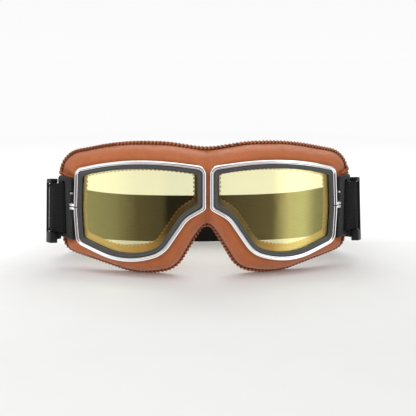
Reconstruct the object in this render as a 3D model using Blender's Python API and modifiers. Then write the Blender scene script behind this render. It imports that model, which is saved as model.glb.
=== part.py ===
"""Motorcycle goggles: two chromed split rims with rubber-set lenses on a padded leather mask, a bracket
hinged on each rim's clamp screw, and an elastic strap with a slider on each side.

Lengths are in millimetres until a mesh is made. X points to the right lens, Y to the rear, Z up. Each
paired piece is built for +X, and its left copy is the same mesh mirrored. The goggles stand on Z = 0 on
the two cheek lobes of the mask and on the lower edge of the strap behind.
"""
import math

import bmesh
import bpy
from mathutils import Matrix, Vector

MM = 0.001
GAP = 0.35

# The front of the mask lies on a cylinder: its plan radius, its slope at the nose, and the round outline
# of an eye as corners (along the cylinder, height, corner radius), clockwise from the top of the nose.
FACE_RADIUS = 186.0
NOSE_SLOPE = math.radians(5.0)
EYE = [
    (0.4, 76.6, 6.5),
    (47.7, 82.9, 190.0),
    (94.4, 72.0, 6.0),
    (96.6, 43.0, 70.0),
    (95.2, 19.6, 8.0),
    (54.4, 7.0, 60.0),
    (28.6, 16.8, 22.0),
    (12.7, 40.5, 18.0),
    (0.4, 47.7, 3.5),
]
NOSE_TOP, TEMPLE_TOP, TEMPLE_BOTTOM, CHEEK, CHEEK_INNER, NOSE_BOTTOM = 0, 2, 4, 5, 6, 8
SMOOTH_STEP = 9.0
LEAST_CORNER = 2.6

# Rear edge of the mask in the front view, from the brow's centre to the nose arch.
EDGE = [
    (0.0, 87.1, 0.0),
    (4.0, 87.1, 30.0),
    (27.0, 90.4, 80.0),
    (56.5, 90.4, 150.0),
    (102.5, 79.0, 19.0),
    (102.5, 67.5, 6.0),
    (100.2, 62.0, 6.0),
    (100.2, 13.8, 13.0),
    (44.5, -1.5, 60.0),
    (20.6, 3.0, 18.0),
    (3.3, 33.0, 5.0),
    (0.0, 33.0, 0.0),
]
EDGE_KEYS = (0, 4, 7, 8, 9, 11)
EYE_KEYS = (NOSE_TOP, TEMPLE_TOP, TEMPLE_BOTTOM, CHEEK, CHEEK_INNER, NOSE_BOTTOM)
LEG_COUNTS = (11, 9, 6, 3, 6)
NOSE_COUNT = 6
EDGE_DEPTH_NOSE = 19.0
EDGE_DEPTH_TEMPLE = 55.0
EDGE_HALF_WIDTH = 102.5
# Centre line of the mask between the eyes, as (depth, height), from the nose arch up to the brow.
NOSE_LINE = [
    (19.0, 33.0),
    (10.0, 38.2),
    (3.5, 43.0),
    (0.4, 47.2),
    (0.4, 75.6),
    (3.5, 80.0),
    (10.5, 84.3),
    (19.0, 87.1),
]
NOSE_PAD_DEPTH = 17.0
# Where the bracket presses the leather in: along its plate, and out of it.
LEATHER_PRESSED = (7.0, -6.0)

# Leather, lining, foam and seam.
LEATHER = 1.0
LINING = 0.8
LEATHER_TUCK = 3.0
LEATHER_FLAT = 0.3
PAD_ROWS = 5
PAD_FULLNESS = 0.85
PAD_HOLE_INSET = 10.5
NOSE_TUCK_SHARE = 0.3
LINING_FRONT = (4.8, -3.5)
LINING_HOLE_LEAD = 2.0
LINING_BEHIND_EDGE = 0.6
LINING_BEHIND_PAD = 2.6
LINING_CROWN = 1.2
FOAM_CLEARANCE = 0.7
FOAM_SLACK = 1.3
FOAM_NOSE_LOW, FOAM_NOSE_HIGH = 5.8, 4.3
LINING_INSET = 3.7
FOAM_FRONT = 5.8
FOAM_LIFT = LINING + GAP + 0.4
SEAM_RADIUS = 1.4
SEAM_SET_BACK = 2.5
SEAM_INSET = 1.6

# Rim, gasket and lens sections: (inward from the eye outline as a negative number, out of the face).
RIM_HEIGHT = 3.2
RIM_WIDTH = 3.6
RIM_SECTION = [
    (0, 0),
    (0, 1.5),
    (-0.5, 2.6),
    (-1.4, RIM_HEIGHT),
    (-2.4, RIM_HEIGHT),
    (-3.2, 2.7),
    (-RIM_WIDTH, 1.9),
    (-RIM_WIDTH, 0),
]
GASKET_OUT = 3.95
GASKET_IN = 7.8
GASKET_SECTION = [
    (-GASKET_OUT, -2.6),
    (-GASKET_OUT, 1.5),
    (-4.8, 2.1),
    (-6.2, 1.8),
    (-GASKET_IN, 1.0),
    (-GASKET_IN, 0.4),
    (-5.6, 0.4),
    (-5.6, -1.9),
    (-7.2, -1.9),
    (-7.2, -2.6),
]
LENS_THICKNESS = 1.6
LENS_FRONT = 0.05
LENS_INSET = 5.6 + GAP
FRAME_SECTION = [(-1.5, -2.2), (-1.5, -3.1), (-3.6, -3.1), (-3.6, -2.2)]
BRIDGE_HALF = 3.5
BRIDGE_LOW, BRIDGE_HIGH = 53.0, 67.0
BRIDGE_THICKNESS = 1.0
RIVET_S = 2.2
RIVET_RADIUS = 0.8
RIVET_HEAD = 1.3
RIVET_HEAD_HEIGHT = 0.5

# Temple: clamp screw, lugs and strap bracket. The bracket plate runs along BRACKET_HEADING from the screw.
SCREW_OFFSET = 2.6
SCREW_Z = 45.0
SCREW_RADIUS = 0.7
SCREW_HEAD_RADIUS = 1.5
LUG_HEIGHT = 1.7
LUG_BACK, LUG_FRONT = -2.3, 1.9
LUG_REACH = 1.7
SPLIT = 0.7
KNUCKLE_RADIUS = 1.9
KNUCKLE_HEIGHT = 5.5
NOTCH_HALF = 2.6
BRACKET_HEADING = math.radians(57.0)
BRACKET_FADE = 9.0
BRACKET_LOW, BRACKET_HIGH = 21.5, 64.5
BRACKET_IN, BRACKET_OUT = -1.2, 19.0
BRACKET_THICKNESS = 2.5
BRACKET_CORNER = 2.8
SLOT_IN, SLOT_OUT = 8.0, 12.3
SLOT_MARGIN = 3.0

# Strap: elastic webbing. Its outer run leaves the bracket on an arc about a tilted axis, so the slider
# travels on that arc; beyond it the strap turns round behind the mask and drops to the floor.
STRAP_WIDTH = 34.6
STRAP_THICKNESS = 1.5
STRAP_Z = 42.5
STRAP_RADIUS = 40.0
STRAP_HEADING = math.radians(44.0)
STRAP_DROOP = math.radians(9.0)
STRAP_LEAN = math.radians(2.5)
DROOP_HEADING = math.radians(80.0)
STRAP_START = (11.2, 2.25)
# The turn through the slot, as (along the bracket, out of it, down from STRAP_Z).
LOOP_ROUTE = [
    (10.0, 1.75, 0.0),
    (9.45, 0.9, 0.0),
    (9.35, -0.2, 0.0),
    (9.6, -1.4, 0.05),
    (10.6, -2.3, 0.15),
    (12.6, -2.6, 0.4),
    (15.6, -2.65, 0.85),
    (17.4, -2.6, 1.1),
    (19.0, -2.45, 1.4),
    (20.8, -1.6, 1.65),
]
TWIST_START, TWIST_END = 20.2, 23.4
RUN_LENGTH = 48.0
TAIL_START, TAIL_END = 12.5, 45.0
STRAP_REAR = 122.0
DROP_LENGTH = 62.0

# Slider: three bars between two arms. The two inner bars lie between the strap's layers.
SLIDER_BAR = 1.5
SLIDER_BAR_WIDTH = 3.0
SLIDER_FRONT = 11.0
SLIDER_LENGTH = 18.0
SLIDER_WINDOW = 39.8
SLIDER_ARM = 2.8
SLIDER_HANG = 2.3
SLIDER_FRONT_BAR = 1.8

LAYER_STEP = STRAP_THICKNESS + SLIDER_BAR + 2 * GAP
Y_CENTRE = (STRAP_REAR + STRAP_THICKNESS / 2 - RIM_HEIGHT) / 2

UP = Vector((0, 0, 1))


# ---------------------------------------------------------------- outlines in a plane


def heading(angle):
    """Horizontal unit vector: outward along X and back along Y."""
    return Vector((math.cos(angle), math.sin(angle), 0))


def corner_arc(before, corner, after, steps):
    """Points of one round corner, evenly spaced from the side before it to the side after it."""
    middle, radius = Vector(corner[:2]), corner[2]
    back = (Vector(before[:2]) - middle).normalized()
    ahead = (Vector(after[:2]) - middle).normalized()
    half = back.angle(ahead) / 2
    centre = middle + (back + ahead).normalized() * (radius / math.sin(half))
    arm = middle + back * (radius / math.tan(half)) - centre
    turn = math.pi - 2 * half
    if back.x * ahead.y - back.y * ahead.x < 0:
        turn = -turn
    points = []
    for step in range(steps + 1):
        turned_arm = arm.copy()
        turned_arm.rotate(Matrix.Rotation(-turn * step / steps, 2))
        points.append(centre + turned_arm)
    return points


def neighbours(corners, index):
    return corners[index - 1], corners[(index + 1) % len(corners)]


def sampling(corners):
    """How many steps each corner and the side after it take, so that inset copies line up."""
    arcs = [corner_arc(*_around(corners, i), 4) for i in range(len(corners))]
    plan = []
    for i, arc in enumerate(arcs):
        bend = sum((arc[k + 1] - arc[k]).length for k in range(4))
        side = (arcs[(i + 1) % len(arcs)][0] - arc[-1]).length
        plan.append((max(3, round(bend / SMOOTH_STEP)), max(1, round(side / SMOOTH_STEP))))
    return plan


def _around(corners, i):
    before, after = neighbours(corners, i)
    return before, corners[i], after


def trace(corners, plan):
    """Points round a closed outline, with the steps of the plan."""
    arcs = [corner_arc(*_around(corners, i), plan[i][0]) for i in range(len(corners))]
    points = []
    for i, arc in enumerate(arcs):
        points += arc
        following = arcs[(i + 1) % len(arcs)][0]
        steps = plan[i][1]
        points += [arc[-1].lerp(following, k / steps) for k in range(1, steps)]
    return points


def inset(corners, distance):
    """The same outline moved inward by a distance, with its corner radii changed to suit."""
    sides = []
    for i, corner in enumerate(corners):
        start, end = Vector(corner[:2]), Vector(neighbours(corners, i)[1][:2])
        along = (end - start).normalized()
        sides.append((start + Vector((along.y, -along.x)) * distance, along))
    moved = []
    for i, corner in enumerate(corners):
        (p, u), (q, v) = sides[i - 1], sides[i]
        cross = u.x * v.y - u.y * v.x
        step = ((q - p).x * v.y - (q - p).y * v.x) / cross
        radius = corner[2] - distance if cross < 0 else corner[2] + distance
        moved.append((*(p + u * step), max(radius, LEAST_CORNER)))
    return moved


def cut_legs(corners, keys, closed):
    """The rounded outline in pieces, cut at the middle of each key corner."""
    points, cuts = [], {}
    for i, corner in enumerate(corners):
        if corner[2]:
            cuts[i] = len(points) + 4
            points += corner_arc(*_around(corners, i), 8)
        else:
            cuts[i] = len(points)
            points.append(Vector(corner[:2]))
    legs = [points[cuts[a] : cuts[b] + 1] for a, b in zip(keys, keys[1:])]
    if closed:
        legs.append(points[cuts[keys[-1]] :] + points[: cuts[keys[0]] + 1])
    return legs


def resample(points, count):
    """count points evenly spaced along a line of points, from its start and without its end."""
    lengths = [0.0]
    for a, b in zip(points, points[1:]):
        lengths.append(lengths[-1] + (b - a).length)
    found, k = [], 0
    for step in range(count):
        target = lengths[-1] * step / count
        while lengths[k + 1] < target:
            k += 1
        found.append(points[k].lerp(points[k + 1], (target - lengths[k]) / (lengths[k + 1] - lengths[k])))
    return found


def smooth_line(knots, per_span):
    """A Catmull-Rom curve through the knots."""
    ends = [knots[0] * 2 - knots[1], *knots, knots[-1] * 2 - knots[-2]]
    points = []
    for p0, p1, p2, p3 in zip(ends, ends[1:], ends[2:], ends[3:]):
        for k in range(per_span):
            t = k / per_span
            bend = (p0 * 2 - p1 * 5 + p2 * 4 - p3) * t**2
            twist = (p1 * 3 - p0 - p2 * 3 + p3) * t**3
            points.append(p1 + ((p2 - p0) * t + bend + twist) / 2)
    return [*points, knots[-1]]


# ---------------------------------------------------------------- surfaces of the mask


def face_slope(s):
    return NOSE_SLOPE + s / FACE_RADIUS


def face_point(s, z, n):
    """Place on the front cylinder: s along it from the nose, z up, n out of it."""
    slope = face_slope(s)
    x = FACE_RADIUS * (math.sin(slope) - math.sin(NOSE_SLOPE)) + n * math.sin(slope)
    y = FACE_RADIUS * (math.cos(NOSE_SLOPE) - math.cos(slope)) - n * math.cos(slope)
    return Vector((x, y, z))


def edge_depth(x):
    """Depth of the mask's rear edge, which follows the face back towards the temples."""
    return EDGE_DEPTH_NOSE + (EDGE_DEPTH_TEMPLE - EDGE_DEPTH_NOSE) * (x / EDGE_HALF_WIDTH) ** 2


def eye_loop(distance, n):
    """Points round the eye at an inset and a height off the face, in step with edge_loop."""
    legs = cut_legs(inset(EYE, distance), EYE_KEYS, True)
    flat = [point for leg, count in zip(legs, (*LEG_COUNTS, NOSE_COUNT)) for point in resample(leg, count)]
    return [face_point(s, z, n) for s, z in flat]


def edge_only():
    """The rear edge from the brow's centre to the nose arch, with both ends."""
    legs = cut_legs(EDGE, EDGE_KEYS, False)
    flat = [point for leg, count in zip(legs, LEG_COUNTS) for point in resample(leg, count)]
    flat.append(legs[-1][-1])
    return [Vector((x, edge_depth(x), z)) for x, z in flat]


def edge_loop():
    """The half mask's outer loop: its rear edge, then up the centre line between the eyes."""
    line = smooth_line([Vector((0, depth, height)) for depth, height in NOSE_LINE], 4)
    return edge_only()[:-1] + resample(line, NOSE_COUNT)


SCREW_AXIS = face_point(EYE[3][0] - 0.3 + SCREW_OFFSET, SCREW_Z, 0.0)
ALONG = heading(BRACKET_HEADING)
OUT = ALONG.cross(UP)


def bracket_point(b, n, z):
    """Place by the bracket: b along its plate from the screw, n out of it."""
    return Vector((SCREW_AXIS.x, SCREW_AXIS.y, 0)) + ALONG * b + OUT * n + UP * z


def under_bracket(z):
    """1 where the bracket lies on the leather, 0 clear above and below it."""
    fade = BRACKET_FADE
    return max(0.0, min(1.0, (z - BRACKET_LOW + fade) / fade, (BRACKET_HIGH + fade - z) / fade))


def toward(start, end, distance):
    """start moved a distance towards end in the front view, staying on the centre plane if it is there."""
    step = Vector((0 if start.x == 0 else end.x - start.x, 0, end.z - start.z))
    return start + step.normalized() * distance


def skin_rows(front, edge):
    """Rows of the puffed surface from the eye loop to the outer loop: a quadratic curve at each point."""
    rows = [[] for _ in range(PAD_ROWS + 1)]
    for i, (near, far) in enumerate(zip(front, edge)):
        pull = near + (far - near) * PAD_FULLNESS
        pull.y = near.y + (far.y - near.y) * (1 - PAD_FULLNESS)
        if far.x > 80:
            pressed = bracket_point(*LEATHER_PRESSED, (near.z + far.z) / 2)
            pull = pull.lerp(pressed, under_bracket(far.z))
        for k, row in enumerate(rows):
            t = k / PAD_ROWS
            row.append(near * (1 - t) ** 2 + pull * 2 * t * (1 - t) + far * t**2)
    return rows


# ---------------------------------------------------------------- Blender helpers


def clear_scene():
    for obj in list(bpy.data.objects):
        bpy.data.objects.remove(obj, do_unlink=True)


def new_collection(name):
    collection = bpy.data.collections.new(name)
    bpy.context.scene.collection.children.link(collection)
    return collection


def material(name, colour, roughness, metallic=0.0):
    made = bpy.data.materials.new(name)
    made.use_nodes = True
    shader = made.node_tree.nodes["Principled BSDF"]
    shader.inputs["Base Color"].default_value = (*colour, 1)
    shader.inputs["Roughness"].default_value = roughness
    shader.inputs["Metallic"].default_value = metallic
    return made


def mesh_object(name, rows, finish, *, close_rows, close_stack, cap):
    """Faces between rows. close_rows joins the ends of each row, close_stack the last row and the first."""
    mesh = bpy.data.meshes.new(name)
    build = bmesh.new()
    grid = [[build.verts.new((p.x * MM, (p.y - Y_CENTRE) * MM, p.z * MM)) for p in row] for row in rows]
    pairs = list(zip(grid, grid[1:]))
    if close_stack:
        pairs.append((grid[-1], grid[0]))
    for low, high in pairs:
        columns = range(len(low)) if close_rows else range(len(low) - 1)
        for i in columns:
            j = (i + 1) % len(low)
            build.faces.new((low[i], low[j], high[j], high[i]))
    if cap:
        build.faces.new(grid[0])
        build.faces.new(grid[-1])
    bmesh.ops.recalc_face_normals(build, faces=build.faces)
    build.to_mesh(mesh)
    build.free()
    obj = bpy.data.objects.new(name, mesh)
    mesh.materials.append(finish)
    parts.objects.link(obj)
    return obj


def modifier(obj, kind, **settings):
    added = obj.modifiers.new(kind.title(), kind)
    for key, value in settings.items():
        setattr(added, key, value)
    return added


def as_cutter(obj):
    parts.objects.unlink(obj)
    cutters.objects.link(obj)
    obj.hide_render = True
    obj.display_type = "WIRE"
    return obj


def combine(obj, operation, *others):
    for other in others:
        modifier(obj, "BOOLEAN", operation=operation, object=as_cutter(other))
    return obj


def settle(obj):
    """Applies the object's modifiers, so that its mirrored copy can share the mesh."""
    graph = bpy.context.evaluated_depsgraph_get()
    finished = bpy.data.meshes.new_from_object(obj.evaluated_get(graph))
    obj.modifiers.clear()
    obj.data = finished
    return obj


def smooth(obj, angle=35):
    obj.data.shade_smooth()
    obj.data.set_sharp_from_angle(angle=math.radians(angle))
    return obj


def pair(obj, kind):
    """Names the finished +X piece as the right one and adds the left one."""
    smooth(settle(obj))
    obj.name = "right_" + kind
    left = bpy.data.objects.new("left_" + kind, obj.data)
    left.scale.x = -1
    parts.objects.link(left)
    return left, obj


def block(name, corners, finish):
    """A six-sided solid from four lower points and the four above them."""
    rows = [corners[:4], corners[4:]]
    return mesh_object(name, rows, finish, close_rows=True, close_stack=False, cap=True)


def bracket_block(name, b, n, z, finish):
    square = ((b[0], n[0]), (b[1], n[0]), (b[1], n[1]), (b[0], n[1]))
    return block(name, [bracket_point(p, q, height) for height in z for p, q in square], finish)


def turned(name, centre, profile, finish, sides=16):
    """A capped turned solid about a vertical axis, from (radius, height) pairs."""
    rows = []
    for radius, height in profile:
        ring = [heading(2 * math.pi * k / sides) * radius for k in range(sides)]
        rows.append([Vector((centre.x, centre.y, height)) + arm for arm in ring])
    return mesh_object(name, rows, finish, close_rows=True, close_stack=False, cap=True)


# ---------------------------------------------------------------- rims and lenses


def eye_ring(name, section, finish):
    """A ring with a constant section round the eye."""
    plan = sampling(EYE)
    rows = []
    for u, n in section:
        rows.append([face_point(s, z, n) for s, z in trace(inset(EYE, -u), plan)])
    return mesh_object(name, rows, finish, close_rows=True, close_stack=True, cap=False)


def make_rim():
    """The chromed rim, split at the temple, with a lug on each side of the split for the clamp screw."""
    ring = eye_ring("rim", RIM_SECTION, chrome)
    axis = SCREW_AXIS
    tangent = heading(face_slope(EYE[3][0]))
    normal = tangent.cross(UP)
    root = -SCREW_OFFSET - 1.2
    lug_corners = []
    for height in (SCREW_Z - LUG_HEIGHT - SPLIT / 2, SCREW_Z + LUG_HEIGHT + SPLIT / 2):
        for reach, side in ((root, 0.2), (LUG_REACH, LUG_BACK), (LUG_REACH, LUG_FRONT), (root, LUG_FRONT)):
            lug_corners.append(Vector((axis.x, axis.y, height)) + tangent * reach + normal * side)
    lugs = block("lug_block", lug_corners, chrome)
    gap = [
        Vector((axis.x, axis.y, height)) + tangent * reach + normal * side
        for height in (SCREW_Z - SPLIT / 2, SCREW_Z + SPLIT / 2)
        for reach, side in ((-9.0, -4.0), (4.0, -4.0), (4.0, 6.0), (-9.0, 6.0))
    ]
    hole_radius = SCREW_RADIUS + GAP
    hole = turned("lug_hole", axis, [(hole_radius, SCREW_Z - 6), (hole_radius, SCREW_Z + 6)], chrome)
    combine(ring, "UNION", lugs)
    combine(ring, "DIFFERENCE", block("split", gap, chrome), hole)
    return pair(ring, "rim")


def make_lens():
    plan = sampling(EYE)
    flat = trace(inset(EYE, LENS_INSET), plan)
    middle = sum(flat, Vector((0, 0))) / len(flat)
    rows = []
    for n, sizes in ((LENS_FRONT, (0.5, 1.0)), (LENS_FRONT - LENS_THICKNESS, (1.0, 0.5))):
        for size in sizes:
            rows.append([face_point(*middle.lerp(point, size), n) for point in flat])
    lens = mesh_object("lens", rows, lens_yellow, close_rows=True, close_stack=False, cap=True)
    return pair(lens, "lens")


def rivet_heights():
    return (BRIDGE_LOW + BRIDGE_HIGH) / 2


def rivet_shape(name, radius, heads, finish, side=1):
    """A rivet through the inner frame and the bridge plate, along the face's normal."""
    z = rivet_heights()
    front, back = FRAME_SECTION[0][1] + GAP, FRAME_SECTION[1][1] - GAP - BRIDGE_THICKNESS - GAP
    steps = [(radius, front), (radius, back)]
    if heads:
        head_end = back - RIVET_HEAD_HEIGHT
        steps = [(radius, front - GAP - 0.2), (radius, back), (RIVET_HEAD, back), (RIVET_HEAD, head_end)]
    rows = []
    for size, n in steps:
        places = []
        for k in range(12):
            angle = 2 * math.pi * k / 12
            places.append(face_point(RIVET_S + math.cos(angle) * size, z + math.sin(angle) * size, n))
        rows.append([Vector((side * place.x, place.y, place.z)) for place in places])
    return mesh_object(name, rows, finish, close_rows=True, close_stack=False, cap=True)


def make_inner_frame():
    frame = eye_ring("frame", FRAME_SECTION, steel)
    combine(frame, "DIFFERENCE", rivet_shape("frame_rivet_hole", RIVET_RADIUS + 0.25, False, steel))
    return pair(frame, "inner_frame")


def make_bridge():
    """The plate behind both frames at the nose, and the rivet that holds it on each side."""
    front = FRAME_SECTION[1][1] - GAP
    bend = 0.6
    corners = ((bend, BRIDGE_LOW), (BRIDGE_HALF, BRIDGE_LOW), (BRIDGE_HALF, BRIDGE_HIGH), (bend, BRIDGE_HIGH))
    rows = []
    for n in (front, front - BRIDGE_THICKNESS):
        right = [face_point(s, z, n) for s, z in corners]
        left = [Vector((-p.x, p.y, p.z)) for p in reversed(right)]
        rows.append(right + left)
    plate = mesh_object("bridge_plate", rows, steel, close_rows=True, close_stack=False, cap=True)
    for name, side in (("right_rivet_hole", 1), ("left_rivet_hole", -1)):
        combine(plate, "DIFFERENCE", rivet_shape(name, RIVET_RADIUS + 0.25, False, steel, side))
    smooth(settle(plate))
    pair(rivet_shape("rivet", RIVET_RADIUS, True, steel), "bridge_rivet")


# ---------------------------------------------------------------- mask


def mirrored_sheet(name, rows, finish, thickness):
    """An open half sheet, mirrored across the nose and given its thickness inward."""
    sheet = mesh_object(name, rows, finish, close_rows=True, close_stack=False, cap=False)
    modifier(sheet, "MIRROR", use_clip=True, merge_threshold=0.00002)
    modifier(sheet, "SOLIDIFY", thickness=thickness * MM, offset=-1, use_even_offset=True)
    return sheet


def outward(obj, toward_front):
    """Turns the half sheet so that its normals face out of the mask."""
    total = sum((face.normal.y * face.area for face in obj.data.polygons), 0.0)
    if (total < 0) != toward_front:
        obj.data.flip_normals()
    return obj


def make_leather():
    edge = edge_loop()
    tucked, flat = eye_loop(LEATHER_TUCK, -GAP), eye_loop(LEATHER_FLAT, -GAP)
    shares = [NOSE_TUCK_SHARE if rear.x == 0 else 1.0 for rear in edge]
    start = [near.lerp(far, share) for near, far, share in zip(tucked, flat, shares)]
    rows = [tucked, *skin_rows(start, edge)]
    return outward(mirrored_sheet("leather_cover", rows, leather, LEATHER), True)


def lining_rows():
    """From the back of the gasket to the rear hole's rim, then out across the face pad."""
    front = eye_loop(LINING_FRONT[0], LINING_FRONT[1])
    hole = []
    for point in eye_loop(PAD_HOLE_INSET, 0.0):
        hole.append(Vector((point.x, edge_depth(point.x) - LINING_HOLE_LEAD, point.z)))
    outer = []
    for i, (point, inner) in enumerate(zip(edge_loop(), hole)):
        if i < len(edge_only()) - 1:
            place = toward(point, inner, LINING_INSET)
            place.y = point.y + LINING_BEHIND_EDGE
        else:
            place = Vector((0, NOSE_PAD_DEPTH + LINING_BEHIND_PAD, 0))
            place.z = outer_nose_height(i)
        outer.append(place)
    middle = [near.lerp(far, 0.5) for near, far in zip(hole, outer)]
    for place in middle:
        place.y += LINING_CROWN
    return [front, [a.lerp(b, 0.55) for a, b in zip(front, hole)], hole, middle, outer]


def outer_nose_height(i):
    """Height on the rear centre line for the loop's nose points, between arch and brow."""
    low, high = EDGE[-1][1] + LINING_INSET + 1.5, EDGE[0][1] - LINING_INSET - 0.8
    first = len(edge_only()) - 1
    return low + (high - low) * (i - first) / NOSE_COUNT


def mitred(rows, distance):
    """The rows moved forward off their own surface, each strip of faces by that distance."""
    moved = []
    for k, row in enumerate(rows):
        moved.append([])
        for i, place in enumerate(row):
            along = row[(i + 1) % len(row)] - row[i - 1]
            slopes = []
            if k > 0:
                slopes.append(along.cross(place - rows[k - 1][i]).normalized())
            if k < len(rows) - 1:
                slopes.append(along.cross(rows[k + 1][i] - place).normalized())
            shift = sum(slopes, Vector()) * (distance / (1 + slopes[0].dot(slopes[-1])))
            if len(slopes) == 1:
                shift = slopes[0] * distance
            if place.x == 0:
                shift.x = 0
            moved[-1].append(place + shift)
    return moved


def make_lining():
    return outward(mirrored_sheet("inner_lining", lining_rows(), lining, LINING), False)


def make_foam():
    """The pad between leather and lining: a closed section round the eye, open where the halves join."""
    keep = LEATHER + GAP + FOAM_CLEARANCE
    leather_front = eye_loop(LEATHER_TUCK - 0.6, -FOAM_FRONT)
    edge = edge_loop()
    outer_edge = []
    for point, near in zip(edge, leather_front):
        place = toward(point, near, keep)
        if point.x == 0:
            place = Vector((0, max(point.y + keep, FOAM_FRONT), 0))
            low, high = EDGE[-1][1] + keep + FOAM_NOSE_LOW, EDGE[0][1] - keep - FOAM_NOSE_HIGH
            place.z = min(max(point.z, low), high)
        outer_edge.append(place)
    shell = skin_rows(leather_front, outer_edge)
    for k, row in enumerate(shell):
        for i, place in enumerate(row):
            slack = FOAM_SLACK * math.sin(math.pi * k / PAD_ROWS)
            place.y += slack
            row[i] = toward(place, leather_front[i], slack) if edge[i].x > 0 else place
    behind = mitred(lining_rows(), FOAM_LIFT)
    back = [behind[4], behind[3], behind[2], behind[1]]
    rows = shell + back
    foam = mesh_object("face_foam", rows, foam_grey, close_rows=True, close_stack=True, cap=False)
    strip = bmesh.new()
    strip.from_mesh(foam.data)
    flat = [face for face in strip.faces if all(abs(vert.co.x) < 1e-7 for vert in face.verts)]
    bmesh.ops.delete(strip, geom=flat, context="FACES")
    strip.to_mesh(foam.data)
    strip.free()
    modifier(foam, "MIRROR", use_clip=True, merge_threshold=0.00002)
    return foam


def make_seam():
    """The cord inside the stitched rear edge: one closed tube round the mask."""
    right = edge_only()
    inner = eye_loop(LEATHER_TUCK, 0.0)
    places = []
    for point, near in zip(right, inner):
        place = toward(point, near, SEAM_INSET)
        place.y = point.y + SEAM_SET_BACK
        places.append(place)
    route = places + [Vector((-p.x, p.y, p.z)) for p in reversed(places[1:-1])]
    data = bpy.data.curves.new("edge_seam", "CURVE")
    data.dimensions = "3D"
    data.bevel_depth = SEAM_RADIUS * MM
    data.bevel_resolution = 1
    spline = data.splines.new("POLY")
    spline.points.add(len(route) - 1)
    for knot, place in zip(spline.points, route):
        knot.co = (place.x * MM, (place.y - Y_CENTRE) * MM, place.z * MM, 1)
    spline.use_cyclic_u = True
    seam = bpy.data.objects.new("edge_seam", data)
    data.materials.append(seam_brown)
    parts.objects.link(seam)
    return seam


# ---------------------------------------------------------------- temples and strap


def make_bracket():
    """The plastic strap bracket: slotted plate with two knuckles on the clamp screw."""
    half = BRACKET_THICKNESS / 2
    plate_corners = [
        (BRACKET_IN, BRACKET_HIGH, 1.0),
        (BRACKET_OUT, BRACKET_HIGH, BRACKET_CORNER),
        (BRACKET_OUT, BRACKET_LOW, BRACKET_CORNER),
        (BRACKET_IN, BRACKET_LOW, 1.0),
    ]
    plan = [(3, 1)] * 4
    outline = trace(plate_corners, plan)
    rows = []
    for n, small in ((-half, 0.4), (-half + 0.4, 0.0), (half - 0.4, 0.0), (half, 0.4)):
        centre = Vector(((BRACKET_IN + BRACKET_OUT) / 2, (BRACKET_LOW + BRACKET_HIGH) / 2))
        ring = []
        for point in outline:
            arm = point - centre
            ring.append(centre + arm - Vector((math.copysign(small, arm.x), math.copysign(small, arm.y))))
        rows.append([bracket_point(b, n, z) for b, z in ring])
    plate = mesh_object("bracket", rows, black_plastic, close_rows=True, close_stack=False, cap=True)
    low, high = SCREW_Z - NOTCH_HALF, SCREW_Z + NOTCH_HALF
    for base, top in ((low - KNUCKLE_HEIGHT, low), (high, high + KNUCKLE_HEIGHT)):
        profile = [(KNUCKLE_RADIUS, base), (KNUCKLE_RADIUS, top)]
        knuckle = turned("knuckle", SCREW_AXIS, profile, black_plastic, 14)
        combine(plate, "UNION", knuckle)
    wide = half + 2
    head_room = (high + KNUCKLE_HEIGHT, high + KNUCKLE_HEIGHT + 2.4)
    slot_ends = (BRACKET_LOW + SLOT_MARGIN, BRACKET_HIGH - SLOT_MARGIN)
    slot = bracket_block("slot", (SLOT_IN, SLOT_OUT), (-wide, wide), slot_ends, black_plastic)
    notch = bracket_block("notch", (-4, 2.6), (-wide, wide), (low, high), black_plastic)
    relief = bracket_block("relief", (-4, 2.1), (-wide, wide), head_room, black_plastic)
    reach = SCREW_RADIUS + GAP
    bore_profile = [(reach, low - KNUCKLE_HEIGHT - 1), (reach, high + KNUCKLE_HEIGHT + 1)]
    bore = turned("bore", SCREW_AXIS, bore_profile, black_plastic)
    combine(plate, "DIFFERENCE", slot, notch, relief, bore)
    return pair(plate, "strap_bracket")


def make_screw():
    """The clamp screw: slotted head above the upper knuckle, shank down through lugs and knuckles."""
    seat = SCREW_Z + NOTCH_HALF + KNUCKLE_HEIGHT + GAP
    profile = [
        (SCREW_RADIUS, SCREW_Z - NOTCH_HALF - KNUCKLE_HEIGHT),
        (SCREW_RADIUS, seat),
        (SCREW_HEAD_RADIUS, seat),
        (SCREW_HEAD_RADIUS, seat + 0.9),
        (SCREW_HEAD_RADIUS - 0.35, seat + 1.25),
    ]
    screw = turned("screw", SCREW_AXIS, profile, steel)
    slot = bracket_block("screw_slot", (-0.25, 0.25), (-2, 2), (seat + 0.75, seat + 2), steel)
    combine(screw, "DIFFERENCE", slot)
    return pair(screw, "clamp_screw")


def strap_axis():
    """Axis of the strap's curved run: drooping to the rear and leaning in at the top."""
    down = heading(DROOP_HEADING) * math.tan(STRAP_DROOP)
    lean = heading(DROOP_HEADING).cross(UP) * math.tan(STRAP_LEAN)
    return (UP + down - lean).normalized()


AXIS = strap_axis()
RUN_START = bracket_point(*STRAP_START, STRAP_Z)
RUN_AHEAD = (heading(STRAP_HEADING) - UP * (heading(STRAP_HEADING).dot(AXIS) / AXIS.z)).normalized()
RUN_OUT = RUN_AHEAD.cross(AXIS)
RUN_CENTRE = RUN_START - RUN_OUT * STRAP_RADIUS


def run_point(length, inward=0.0, width=0.0):
    """Place on the strap's curved run: length along the outer layer, inward of it, and along its width."""
    angle = length / STRAP_RADIUS
    arm = RUN_OUT * math.cos(angle) + RUN_AHEAD * math.sin(angle)
    return RUN_CENTRE + arm * (STRAP_RADIUS - inward) + AXIS * width


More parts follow.
